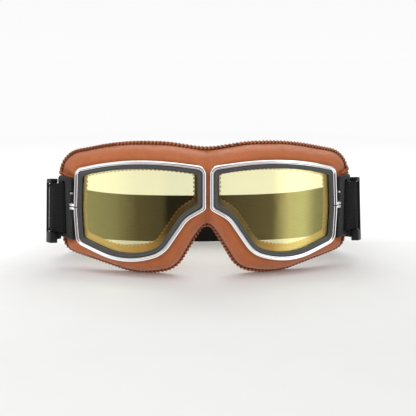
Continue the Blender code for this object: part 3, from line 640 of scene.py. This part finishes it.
# A far darker copy of the tan leather for the rolled edge: painted shade on the edge and between its stitches.
ridge_painted_shade_leather = leather_material("ridge_painted_shade_leather", (0.12, 0.032, 0.012), (0.08, 0.021, 0.008), 0.6)
chrome = chrome_material()
steel = steel_material()
rubber = rubber_material()
lens_yellow = lens_material()
black_plastic = plastic_material()
webbing = webbing_material()
seam_thread = thread_material("brown_thread", (0.46, 0.14, 0.048))
lining_thread = thread_material("golden_thread", (0.78, 0.30, 0.035))


# ---- rims, gaskets and lenses ----


RING_COUNTS = (60, 34, 44, 26, 34, 30)
RIM_SECTION = [
    (-0.5, -0.2), (-0.45, 0.9), (-0.55, 1.7), (-0.8, 2.4), (-1.2, 2.85), (-1.65, 3.0), (-2.1, 2.9),
    (-2.45, 2.5), (-2.65, 2.1), (-2.8, 2.0), (-3.0, 2.0), (-3.15, 1.75), (-3.1, 0.6), (-3.0, -0.2),
]
GASKET_SECTION = [
    (-3.25, -2.5),
    (-3.25, 1.1),
    (-3.4, 1.55),
    (-3.75, 1.85),
    (-4.2, 1.9),
    (-4.7, 1.7),
    (-5.05, 1.35),
    (-5.3, 1.3),
    (-5.5, 1.55),
    (-5.8, 1.6),
    (-6.1, 1.35),
    (-6.3, 0.95),
    (-6.25, 0.45),
    (-4.9, 0.4),
    (-4.8, -1.9),
    (-5.9, -1.9),
    (-5.9, -2.6),
]
LENS_INSET = 5.1
LENS_FRONT, LENS_BACK = 0.05, -1.55
LENS_RINGS = (0.02, 0.15, 0.3, 0.45, 0.6, 0.75, 0.9, 1.0)


def ring_piece(name, section, finish, sign):
    """A section swept round the eye, as a closed ring."""
    rows = []
    for inward, n in section:
        rows.append([face_point(s, z, n) for s, z in eye_flat(-inward, RING_COUNTS)])
    return tidy_normals(loft(name, rows, finish, sign, close_stack=True), 50)


def temple_block(name, outline, low, high, sign):
    """A chrome block at the screw: an outline of (reach, depth) along and out of the face, and two heights."""
    tangent = heading(face_slope(EYE[3][0]))
    normal = tangent.cross(UP)
    rows = []
    for height in (low, high):
        foot = Vector((SCREW_AXIS.x, SCREW_AXIS.y, height))
        rows.append([foot + tangent * reach + normal * depth for reach, depth in outline])
    return tidy_normals(loft(name, rows, chrome, sign, cap=True))


def make_rim(side, sign):
    """The chromed rim with its split at the temple and a lug on each side of it."""
    ring = ring_piece(side + "_ring", RIM_SECTION, chrome, sign)
    low, high = SCREW_Z - SPLIT / 2, SCREW_Z + SPLIT / 2
    cutter = temple_block("split", SPLIT_OUTLINE, low, high, sign)
    cut = ring.modifiers.new("split", "BOOLEAN")
    cut.object = cutter
    apply_modifiers(ring)
    bpy.data.objects.remove(cutter)
    pieces = [ring]
    for heights in ((low - LUG_HEIGHT, low), (high, high + LUG_HEIGHT)):
        lug = temple_block("lug", LUG_OUTLINE, *heights, sign)
        bevel(lug, LUG_BEVEL)
        pieces.append(tidy_normals(apply_modifiers(lug)))
    rim = joined(side + "_chrome_rim", pieces)
    rim.data.set_sharp_from_angle(angle=math.radians(45))
    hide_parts(side + "_rim")
    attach(rim, "mask")


def make_gasket(side, sign):
    gasket = ring_piece(side + "_rubber_gasket", GASKET_SECTION, rubber, sign)
    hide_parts(side + "_lens_gasket")
    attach(gasket, "mask")


def make_lens(side, sign):
    """The lens: a closed curved sheet with its own thickness."""
    outline = eye_flat(LENS_INSET, RING_COUNTS)
    middle = sum(outline, Vector((0, 0))) / len(outline)
    rows = []
    for n, steps in ((LENS_FRONT, LENS_RINGS), (LENS_BACK, reversed(LENS_RINGS))):
        rows += [[face_point(*middle.lerp(point, size), n) for point in outline] for size in steps]
    lens = tidy_normals(loft(side + "_yellow_lens", rows, lens_yellow, sign, cap=True), 50)
    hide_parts(side + "_lens")
    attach(lens, "mask")


# ---- mask ----


def skin_rows(front, edge):
    """Rows of the puffed surface from the eye loop to the outer loop: a quadratic curve at each point."""
    rows = [[] for _ in range(SKIN_ROWS + 1)]
    nose = len(edge) - NOSE_COUNT
    for i, (near, far) in enumerate(zip(front, edge)):
        level = max(0.0, min(1.0, (i - nose) / 3, (len(edge) - i) / 3)) * NOSE_LEVEL
        pull = near + (far - near) * PAD_FULLNESS
        pull.y = near.y + (far.y - near.y) * (1 - PAD_FULLNESS + level)
        if far.x > 80:
            pressed = bracket_point(*LEATHER_PRESSED, (near.z + far.z) / 2)
            pull = pull.lerp(pressed, under_bracket(far.z))
        for k, row in enumerate(rows):
            t = k / SKIN_ROWS
            row.append(near * (1 - t) ** 2 + pull * 2 * t * (1 - t) + far * t**2)
    return rows


def shade_attribute(piece, row_length, values):
    """Stores one number per row for the material's painted shade: 0 in a fold, where the colour is darkest, 1
    on an open surface.
    """
    layer = piece.data.attributes.new("shade", "FLOAT", "POINT")
    for k, value in enumerate(values):
        for i in range(row_length):
            layer.data[k * row_length + i].value = value


def turn_sheet(sheet, facing):
    """Turns a sheet's faces so that most of them look to the front (-1) or to the rear (1)."""
    total = sum((face.normal.y * face.area for face in sheet.data.polygons), 0.0)
    if total * facing < 0:
        sheet.data.flip_normals()


def mirror_half(sheet):
    """The whole sheet from its right half."""
    mirror = sheet.modifiers.new("mirror", "MIRROR")
    mirror.use_clip = True
    mirror.merge_threshold = MERGE * MM
    apply_modifiers(sheet)


def thicken(sheet, thickness):
    thick = sheet.modifiers.new("thick", "SOLIDIFY")
    thick.thickness = thickness * MM
    thick.offset = -1
    apply_modifiers(sheet)
    sheet.data.shade_smooth()


def soften(piece, near, far, rounds):
    """Smooths the surface between two distances from the centre plane, leaving its borders."""
    shell = bmesh.new()
    shell.from_mesh(piece.data)
    inner = [vert for vert in shell.verts if not vert.is_boundary]
    band = [vert for vert in inner if near * MM <= abs(vert.co.x) < far * MM]
    axes = dict(use_axis_x=True, use_axis_y=True, use_axis_z=True)
    for _ in range(rounds):
        bmesh.ops.smooth_vert(shell, verts=band, factor=0.5, **axes)
    shell.to_mesh(piece.data)
    shell.free()


CLOTH_FRAMES = 20
CLOTH = {
    "quality": 6,
    "mass": 0.25,
    "tension_stiffness": 12.0,
    "compression_stiffness": 10.0,
    "shear_stiffness": 6.0,
    "bending_stiffness": 0.4,
    "use_pressure": True,
}


def puff(piece, pressure, cap):
    """Inflates a sheet held at its borders with the cloth solver, and keeps each point within the cap."""
    mesh = piece.data
    shell = bmesh.new()
    shell.from_mesh(mesh)
    border = [vert.index for vert in shell.verts if vert.is_boundary]
    shell.free()
    before = [vert.co.copy() for vert in mesh.vertices]
    held = piece.vertex_groups.new(name="held")
    held.add(border, 1.0, "REPLACE")
    cloth = piece.modifiers.new("cloth", "CLOTH")
    for key, value in CLOTH.items():
        setattr(cloth.settings, key, value)
    cloth.settings.uniform_pressure_force = pressure
    cloth.settings.vertex_group_mass = "held"
    cloth.settings.effector_weights.gravity = 0.0
    cloth.collision_settings.use_collision = False
    cloth.point_cache.frame_start = 1
    cloth.point_cache.frame_end = CLOTH_FRAMES
    scene = bpy.context.scene
    for frame_number in range(1, CLOTH_FRAMES + 1):
        scene.frame_set(frame_number)
    graph = bpy.context.evaluated_depsgraph_get()
    swollen = piece.evaluated_get(graph).to_mesh()
    moves = [swollen.vertices[i].co - start for i, start in enumerate(before)]
    piece.evaluated_get(graph).to_mesh_clear()
    piece.modifiers.clear()
    piece.vertex_groups.clear()
    scene.frame_set(1)
    for vert, start, move in zip(mesh.vertices, before, moves):
        if move.length > cap * MM:
            move = move.normalized() * cap * MM
        vert.co = start + move


def crease(piece):
    """Fine folds in the leather, which fade where its shade is low, towards the borders."""
    mesh = piece.data
    normals = [vert.normal.copy() for vert in mesh.vertices]
    shade = mesh.attributes["shade"].data
    for vert, normal, layer in zip(mesh.vertices, normals, shade):
        place = vert.co / MM
        broad = noise.noise(Vector((place.x, place.y * 0.6, place.z)) * 0.045)
        sharp = noise.noise(Vector((place.x * 0.5, place.y, place.z * 1.6)) * 0.16 + Vector((9, 4, 1)))
        vert.co += normal * (CREASE_DEPTH * MM * layer.value * (broad * 0.9 - abs(sharp) * 0.45))


def make_leather():
    """The padded leather cover, from under the rims round to the stitched rear edge."""
    edge = edge_loop()
    tucked, flat = eye_loop(LEATHER_TUCK, -GAP), eye_loop(LEATHER_FLAT, -GAP)
    start = [near.lerp(far, 0.3 if rear.x == 0 else 1.0) for near, far, rear in zip(tucked, flat, edge)]
    border = []
    lowest, highest = EDGE[-1][1] + LEATHER_BORDER, EDGE[0][1] - LEATHER_BORDER
    for point, near in zip(edge, start):
        place = toward(point, near, LEATHER_BORDER) if point.x > 0 else point.copy()
        if point.x == 0:
            place.z = max(lowest, min(highest, place.z))
        border.append(place)
    rows = [tucked, *skin_rows(start, border)]
    cover = loft("leather_mask", rows, leather_tan)
    turn_sheet(cover, -1)
    # Painted shade on the cover: darkest where it tucks under the rim, light over the puff, a little darker at
    # the border, and kept light along the centre line.
    values = [0.0, 0.15]
    for k in range(1, SKIN_ROWS + 1):
        t = k / SKIN_ROWS
        values.append(min(1.0, 7 * t, 0.4 + 6 * (1 - t)))
    shade_attribute(cover, len(tucked), values)
    layer = cover.data.attributes["shade"]
    for vert in cover.data.vertices:
        if vert.co.x < CENTRE_BAND * MM:
            layer.data[vert.index].value = max(layer.data[vert.index].value, 0.9)
    mirror_half(cover)
    soften(cover, *COVER_SOFTENED)
    puff(cover, COVER_PRESSURE, COVER_CAP)
    crease(cover)
    thicken(cover, LEATHER)
    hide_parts("leather_cover")
    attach(cover, "mask")


def nose_height(i):
    """Height on the rear centre line for the loop's nose points, between arch and brow."""
    low, high = EDGE[-1][1] + LINING_INSET + 1.5, EDGE[0][1] - LINING_INSET - 0.8
    first = len(edge_only()) - 1
    return low + (high - low) * (i - first) / NOSE_COUNT


def lining_rows():
    """From the back of the gasket to the rear hole's rim, then out across the face pad."""
    front = eye_loop(LEATHER_TUCK + 1.8, -3.5)
    hole = []
    for point in eye_loop(PAD_HOLE_INSET, 0.0):
        hole.append(Vector((point.x, edge_depth(point.x) - 2.0, point.z)))
    outer = []
    last = len(edge_only()) - 1
    for i, (point, inner) in enumerate(zip(edge_loop(), hole)):
        if i < last:
            place = toward(point, inner, LINING_INSET)
            place.y = point.y + 0.6
        else:
            place = Vector((0, NOSE_PAD_DEPTH + 2.6, nose_height(i)))
        outer.append(place)
    rows = []
    for k in range(WALL_ROWS):
        rows.append([a.lerp(b, k / WALL_ROWS) for a, b in zip(front, hole)])
    for k in range(PAD_ROWS + 1):
        t = k / PAD_ROWS
        row = [a.lerp(b, t) for a, b in zip(hole, outer)]
        for place in row:
            place.y += 4 * t * (1 - t) * PAD_CROWN
        rows.append(row)
    return rows


def make_lining():
    """The lining: down the inside wall of each eye opening and over the pad that meets the face."""
    rows = lining_rows()
    lining = loft("padded_lining", rows, leather_lining)
    turn_sheet(lining, 1)
    # Painted shade: the wall and pad a little darkened, and the wall going dark towards its nose side.
    values = [0.8 if k < WALL_ROWS else 0.9 for k in range(len(rows))]
    shade_attribute(lining, len(rows[0]), values)
    layer = lining.data.attributes["shade"]
    count, nose = len(rows[0]), sum(LEG_COUNTS[:3]) + LEG_COUNTS[3] // 2
    for k in range((WALL_ROWS + 1) * count):
        layer.data[k].value *= 1 - min(1.0, max(0.0, (k % count - nose) / 12))
    mirror_half(lining)
    soften(lining, *LINING_SOFTENED)
    puff(lining, LINING_PRESSURE, LINING_CAP)
    thicken(lining, LINING)
    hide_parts("inner_lining", "face_foam")
    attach(lining, "mask")


def ridge_path():
    """Centre of the rolled rear edge on the right, with the direction out of the mask at each place."""
    right = edge_only()
    inner = eye_loop(LEATHER_TUCK, 0.0)
    places = []
    for point, near in zip(right, inner):
        place = toward(point, near, RIDGE_INSET)
        place.y = point.y + RIDGE_SET_BACK
        places.append(place)
    left = [Vector((-p.x, p.y, p.z)) for p in reversed(places[1:-1])]
    return places + left


def spaced(path, pitch):
    """Places and directions at an even pitch along a closed path."""
    return walk([*path, path[0]], pitch=pitch)


def make_ridge():
    """The rolled rear edge, a little puckered between its stitches."""
    rows = []
    sides, rings = 14, 6
    for k, (place, ahead) in enumerate(spaced(ridge_path(), STITCH_PITCH / rings)):
        radius = RIDGE_RADIUS * (0.93 + 0.1 * math.sin(2 * math.pi * (k / rings + 0.25)))
        out = ahead.cross(REAR).normalized()
        rows.append(circle(place, out, out.cross(ahead).normalized(), radius, sides))
    ridge = loft("rolled_edge", rows, ridge_painted_shade_leather, close_stack=True)
    # Painted shade: a slight further darkening all along the ridge.
    shade_attribute(ridge, sides, [0.9] * len(rows))
    tidy_normals(ridge, 60)
    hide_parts("edge_seam")
    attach(ridge, "mask")


def make_whip_stitches():
    """The slanted stitches that wrap the rolled edge, one every few millimetres."""
    pieces = []
    shaky = random.Random(7)
    reach = RIDGE_RADIUS - 0.3
    start, turn = STITCH_TURN
    for place, ahead in spaced(ridge_path(), STITCH_PITCH):
        out = ahead.cross(REAR).normalized()
        if out.dot(Vector((place.x, 0, place.z - SCREW_Z))) < 0 and abs(place.x) > 30:
            out = -out
        back = REAR - ahead * ahead.y
        slant = STITCH_SLANT + shaky.uniform(-0.2, 0.2)
        arc = []
        for k in range(9):
            angle = math.radians(start + turn * k / 8)
            arm = out * math.cos(angle) * reach + back * math.sin(angle) * reach
            arc.append(place + arm + ahead * (slant * (k / 8 - 0.5) * 2))
        pieces.append(thread(arc, THREAD_RADIUS, seam_thread))
    stitches = tidy_normals(joined("whip_stitches", pieces), 60)
    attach(stitches, "mask")


def make_lining_stitches(side, sign):
    """A row of golden stitches round the rear opening of one eye."""
    hole = lining_rows()[WALL_ROWS]
    pieces = []
    middle = sum(hole, Vector()) / len(hole)
    for place, ahead in spaced(hole, LINING_STITCH_PITCH):
        inward = (middle - place - ahead * (middle - place).dot(ahead)).normalized()
        place = place - REAR * 1.1 + inward * 0.15
        line = []
        for along, lift in ((-0.95, 0.0), (-0.5, 0.4), (0.5, 0.4), (0.95, 0.0)):
            line.append(place + ahead * along + inward * lift)
        pieces.append(thread(line, LINING_THREAD_RADIUS, lining_thread, sign))
    stitches = tidy_normals(joined(side + "_lining_stitches", pieces), 60)
    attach(stitches, "mask")


# ---- strap ----


def strap_axis():
    """Axis of the strap's curved run: drooping to the rear and leaning in at the top."""
    down = heading(DROOP_HEADING) * math.tan(STRAP_DROOP)
    lean = heading(DROOP_HEADING).cross(UP) * math.tan(STRAP_LEAN)
    return (UP + down - lean).normalized()


AXIS = strap_axis()
RUN_START = bracket_point(*STRAP_START, STRAP_Z)
RUN_AHEAD = (heading(STRAP_HEADING) - UP * (heading(STRAP_HEADING).dot(AXIS) / AXIS.z)).normalized()
RUN_OUT = RUN_AHEAD.cross(AXIS)
RUN_CENTRE = RUN_START - RUN_OUT * STRAP_RADIUS


def run_point(length, inward=0.0, width=0.0):
    """Place on the strap's curved run: length along the outer layer, inward of it, and up its width."""
    angle = length / STRAP_RADIUS
    arm = RUN_OUT * math.cos(angle) + RUN_AHEAD * math.sin(angle)
    return RUN_CENTRE + arm * (STRAP_RADIUS - inward) + AXIS * width


def bracket_part():
    """The strap's tail, its turn through the slot and its outer run, from the tail's end."""
    tail = []
    for k in range(19):
        share = 1 - k / 18
        sag = TAIL_SAG - 3.0 * max(0.0, 1 - 3 * share) ** 2
        tail.append(run_point(TAIL_START + (TAIL_END - TAIL_START) * share, LAYER_STEP, -sag))
    turn = [bracket_point(b, n, STRAP_Z - drop) for b, n, drop in reversed(LOOP_ROUTE)]
    run = [run_point(RUN_LENGTH * k / 24) for k in range(25)]
    bend = smooth_line(tail[-2:] + turn + run[:2], 4)[4:-4]
    places = tail[:-1] + bend + run[1:]
    widths = []
    for place in places:
        along = (place - SCREW_AXIS).dot(ALONG)
        widths.append(UP.lerp(AXIS, eased((along - TWIST_START) / (TWIST_END - TWIST_START))))
    return places, widths


def turning_path(bearing, power):
    """A path of length 1 that turns from its bearing to the centre's, fast at first, as (across, back)."""
    across = back = 0.0
    found = []
    for k in range(REAR_STEPS):
        share = (k + 0.5) / REAR_STEPS
        direction = math.pi - (math.pi - bearing) * (1 - share) ** power
        across += math.cos(direction) / REAR_STEPS
        back += math.sin(direction) / REAR_STEPS
        found.append((across, back))
    return found


def head_part():
    """The strap behind the run: one easing curve to the centre behind the head, dropping to the table."""
    start = run_point(RUN_LENGTH)
    angle = RUN_LENGTH / STRAP_RADIUS
    ahead = RUN_AHEAD * math.cos(angle) - RUN_OUT * math.sin(angle)
    bearing = math.atan2(ahead.y, ahead.x)
    fall = ahead.z / math.hypot(ahead.x, ahead.y)
    # Halve the range of powers until the path reaches the strap's rear.
    low, high = 0.5, 12.0
    for _ in range(40):
        power = (low + high) / 2
        path = turning_path(bearing, power)
        size = -start.x / path[-1][0]
        if start.y + size * path[-1][1] > STRAP_REAR:
            low = power
        else:
            high = power
    places, widths = [], []
    drop = start.z - REAR_MIDDLE
    for k, (across, back) in enumerate(path, 1):
        run = size * k / REAR_STEPS
        left = math.exp(-run / DROP_LENGTH)
        z = REAR_MIDDLE + (drop + (fall + drop / DROP_LENGTH) * run) * left
        places.append(Vector((start.x + size * across, start.y + size * back, z)))
        upright = 1 - left * (1 + run / DROP_LENGTH)
        widths.append(AXIS.lerp(UP, upright) * (1 + (REAR_STRETCH - 1) * upright))
    places[-1].x = -REAR_OVERLAP
    return places, widths


def strap_section():
    """The webbing's outline: flat faces, round selvedges, slightly thicker at both edges."""
    half, wide = STRAP_THICKNESS / 2, STRAP_WIDTH / 2
    steps, selvedge, dip = 12, 0.9, 0.12
    top = []
    for k in range(steps + 1):
        across = -wide + selvedge + 2 * (wide - selvedge) * k / steps
        top.append((half - (dip if 0 < k < steps else 0.0), across))
    end = [(half * 0.6, wide - 0.25), (0.0, wide), (-half * 0.6, wide - 0.25)]
    bottom = [(-thick, across) for thick, across in reversed(top)]
    start = [(-p, -q) for p, q in end]
    return top + end + bottom + start


def make_strap(side, sign):
    """Half of the strap, from the tail inside the bracket to the centre behind the head."""
    places, widths = bracket_part()
    more, more_widths = head_part()
    places += more
    widths += more_widths
    section = strap_section()
    rows, lengths = [], []
    travelled = 0.0
    for k, (place, across) in enumerate(zip(places, widths)):
        ahead = (places[min(k + 1, len(places) - 1)] - places[max(k - 1, 0)]).normalized()
        stretch = across.length
        across = (across - ahead * across.dot(ahead)).normalized() * stretch
        outward = ahead.cross(across).normalized()
        rows.append([place + outward * p + across * q for p, q in section])
        travelled += (place - places[k - 1]).length if k else 0.0
        lengths.append(travelled)
    strap = loft(side + "_webbing", rows, webbing, sign, cap=True)
    layer = strap.data.uv_layers.new(name="strap")
    count = len(section)
    for loop in strap.data.loops:
        row, i = divmod(loop.vertex_index, count)
        layer.data[loop.index].uv = (lengths[row], section[i][1])
    tidy_normals(strap, 60)
    replaced = [side + "_strap_end"] + (["head_strap"] if sign < 0 else [])
    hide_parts(*replaced)
    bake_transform(strap)


PLASTIC_BEVEL = 0.45
SCREW_BEVEL = 0.12
SLIDER_BAR = 1.5
SLIDER_BAR_WIDTH = 3.0
SLIDER_FRONT = 11.0
SLIDER_LENGTH = 18.0
SLIDER_HIGH, SLIDER_LOW = (17.4, 20.4), (-25.0, -17.5)


def slider_block(lengths, inward, width, sign):
    """A rounded block bent to the strap's run: lengths along it, inward range and width range."""
    rows = []
    start, end = lengths
    for k in range(9):
        length = start + (end - start) * k / 8
        low_side = [run_point(length, depth, width[0]) for depth in inward]
        rows.append(low_side + [run_point(length, depth, width[1]) for depth in reversed(inward)])
    block = tidy_normals(loft("block", rows, black_plastic, sign, cap=True), 30)
    bevel(block, PLASTIC_BEVEL, limit_method="ANGLE")
    return apply_modifiers(block)


def make_slider(side, sign):
    """The slider: two arms along the strap's edges, two bars between its layers and one outside."""
    between = (STRAP_THICKNESS / 2 + GAP, STRAP_THICKNESS / 2 + GAP + SLIDER_BAR)
    outside = (-between[1], -between[0] + 0.3)
    start, end = SLIDER_FRONT, SLIDER_FRONT + SLIDER_LENGTH
    full = (outside[0], between[1])
    tall = (SLIDER_LOW[0] + 0.8, SLIDER_HIGH[1] - 0.8)
    middle = (start + end - SLIDER_BAR_WIDTH) / 2
    pieces = [
        slider_block((start, end), full, SLIDER_HIGH, sign),
        slider_block((start, end), full, SLIDER_LOW, sign),
        slider_block((start + 1.8, start + 1.6 + SLIDER_BAR_WIDTH), between, tall, sign),
        slider_block((middle, middle + SLIDER_BAR_WIDTH), between, tall, sign),
        slider_block((end - SLIDER_BAR_WIDTH, end - 0.2), outside, tall, sign),
    ]
    slider = tidy_normals(joined(side + "_plastic_slider", pieces), 35)
    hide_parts(side + "_strap_slider")
    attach(slider, side + "_slider")


# ---- CAD pieces that stay ----


def plain(node, finish):
    """Gives a CAD piece its finish."""
    piece = frame["nodes"][node]
    piece.data.materials.clear()
    piece.data.materials.append(finish)
    return piece


def refine(node, finish, width):
    """Gives a CAD piece its finish, rounded edges and smooth shading."""
    piece = plain(node, finish)
    weld = piece.modifiers.new("weld", "WELD")
    weld.merge_threshold = MERGE * MM
    bevel(piece, width, limit_method="ANGLE", angle_limit=math.radians(40))
    piece.data.shade_smooth()


# ---- studio ----


def area_light(name, place, aim, size, power):
    """A rectangular lamp. Places and sizes are metres."""
    light = bpy.data.lights.new(name, "AREA")
    light.shape = "RECTANGLE"
    light.size, light.size_y = size
    light.energy = power
    lamp = add_object(name, light)
    lamp.location = place
    lamp.rotation_euler = (Vector(aim) - Vector(place)).to_track_quat("-Z", "Y").to_euler()
    return lamp


def make_floor():
    far = FLOOR_REACH
    mesh = bpy.data.meshes.new("floor")
    mesh.from_pydata([(-far, -far, 0), (far, -far, 0), (far, far, 0), (-far, far, 0)], [], [(0, 1, 2, 3)])
    mesh.materials.append(floor_material())
    floor = add_object("floor", mesh)
    floor.visible_glossy = False


# Brightness of the studio in reflections, by bearing in degrees: from behind on the left, past the camera at 0,
# to behind on the right.
STUDIO_BRIGHTNESS = [
    (-180, 0.9), (-100, 0.4), (-80, 0.8), (-68, 1.5), (-54, 1.2), (-42, 0.5), (-29, 0.33), (-27, 0.07),
    (0, 0.04), (18.5, 0.06), (20.5, 0.32), (44, 0.6), (53, 2.8), (61, 3.0), (68, 1.4), (80, 0.8),
    (95, 0.4), (180, 0.9),
]
STUDIO_PEAK = 4.0
# Upward part of a reflection's direction where the ceiling and the table come in, and the gap in the ceiling
# over the camera: its bearings in radians, and the upward part where it closes.
CEILING = (0.42, 0.55)
TABLE = (-0.32, -0.60)
GAP_BEARING = (0.28, 0.42)
GAP_TOP = (0.84, 0.9)


def make_world():
    """White surroundings. In reflections: a dark camera side, a softbox each side, and a bright ceiling."""
    surroundings = bpy.data.worlds.new("studio")
    surroundings.use_nodes = True
    scene = bpy.context.scene
    scene.world = surroundings
    n = Tree(surroundings.node_tree)
    ray = n.add("ShaderNodeLightPath").outputs
    apart = n.add("ShaderNodeSeparateXYZ", {0: n.add("ShaderNodeTexCoord").outputs["Generated"]}).outputs
    bearing = n.math("ARCTAN2", apart[0], n.math("MULTIPLY", apart[1], -1.0))
    ramp = n.add("ShaderNodeValToRGB", {0: n.remap(bearing, -math.pi, math.pi, 0.0, 1.0)})
    stops = ramp.color_ramp.elements
    while len(stops) < len(STUDIO_BRIGHTNESS):
        stops.new(0.5)
    for stop, (angle, value) in zip(stops, STUDIO_BRIGHTNESS):
        stop.position = angle / 360 + 0.5
        stop.color = tint(*[value / STUDIO_PEAK] * 3)
    away = n.math("ABSOLUTE", bearing)
    aside = n.remap(away, *GAP_BEARING, 0.12, 1.0)
    clear = n.math("MAXIMUM", aside, n.remap(apart[2], *GAP_TOP, 0.0, 1.0))
    ceiling = n.math("MULTIPLY", n.remap(apart[2], *CEILING, 0.0, 1.0), clear)
    table = n.remap(apart[2], *TABLE, 0.0, 1.0)
    strength = n.math("SUBTRACT", STUDIO_PEAK, n.math("MULTIPLY", ceiling, STUDIO_PEAK))
    walls = n.math("MULTIPLY", ramp.outputs[0], strength)
    walls = n.math("MULTIPLY", walls, n.math("SUBTRACT", 1.0, table))
    mirrored = n.math("ADD", walls, n.math("ADD", ceiling, n.math("MULTIPLY", table, 1.05)))
    room = n.add("ShaderNodeBackground", {1: n.remap(apart[2], -0.1, 0.9, 0.97, 1.02)})
    studio = n.add("ShaderNodeBackground", {1: mirrored})
    seen = n.add("ShaderNodeBackground", {1: n.remap(apart[2], 0.0, 0.14, 0.975, 0.93)})
    for background in (room, seen):
        background.inputs[0].default_value = tint(1, 1, 1)
    hue = n.mix(n.remap(away, 0.7, 1.0, 0.0, 1.0), tint(1.0, 0.86, 0.86), tint(0.97, 1.0, 1.0))
    n.tree.links.new(hue, studio.inputs[0])
    lit = n.blend(ray["Is Glossy Ray"], room, studio)
    n.show(n.blend(ray["Is Camera Ray"], lit, seen), "World Output")


def make_studio():
    bpy.context.scene.view_settings.view_transform = "Standard"
    make_world()
    make_floor()
    area_light("top_box", (-0.15, -0.35, 0.8), (0, 0, 0.06), (0.6, 0.35), 0.45)
    fill = area_light("front_fill", (-0.3, -1.0, 0.4), (0, 0, 0.04), (0.9, 0.6), 3.0)
    fill.visible_glossy = False
    area_light("back_box", (0.1, 0.6, 0.6), (0, 0, 0.03), (0.8, 0.4), 2.3)


CAMERA_DISTANCE = 550.0
CAMERA_HEIGHT = 146.0
CAMERA_YAW = math.radians(2.3)
CAMERA_PITCH = math.radians(10.0)
# Half the picture's width over the focal length, both in pixels.
CAMERA_FIELD = 2 * math.atan(208.0 / 859.0)


def make_camera():
    data = bpy.data.cameras.new("camera")
    data.angle = CAMERA_FIELD
    camera = add_object("camera", data)
    camera.location = (
        -CAMERA_DISTANCE * math.sin(CAMERA_YAW) * MM,
        (-Y_CENTRE - CAMERA_DISTANCE * math.cos(CAMERA_YAW)) * MM,
        CAMERA_HEIGHT * MM,
    )
    camera.rotation_euler = (math.pi / 2 - CAMERA_PITCH, 0, -CAMERA_YAW)
    bpy.context.scene.camera = camera


def main():
    for side, sign in SIDES:
        make_rim(side, sign)
        make_gasket(side, sign)
        make_lens(side, sign)
        make_lining_stitches(side, sign)
        make_strap(side, sign)
        refine(side + "_strap_bracket", black_plastic, PLASTIC_BEVEL)
        make_slider(side, sign)
        refine(side + "_clamp_screw", steel, SCREW_BEVEL)
        plain(side + "_inner_frame", steel)
        plain(side + "_bridge_rivet", steel)
    plain("bridge_plate", steel)
    make_leather()
    make_lining()
    make_ridge()
    make_whip_stitches()
    make_camera()
    make_studio()


main()
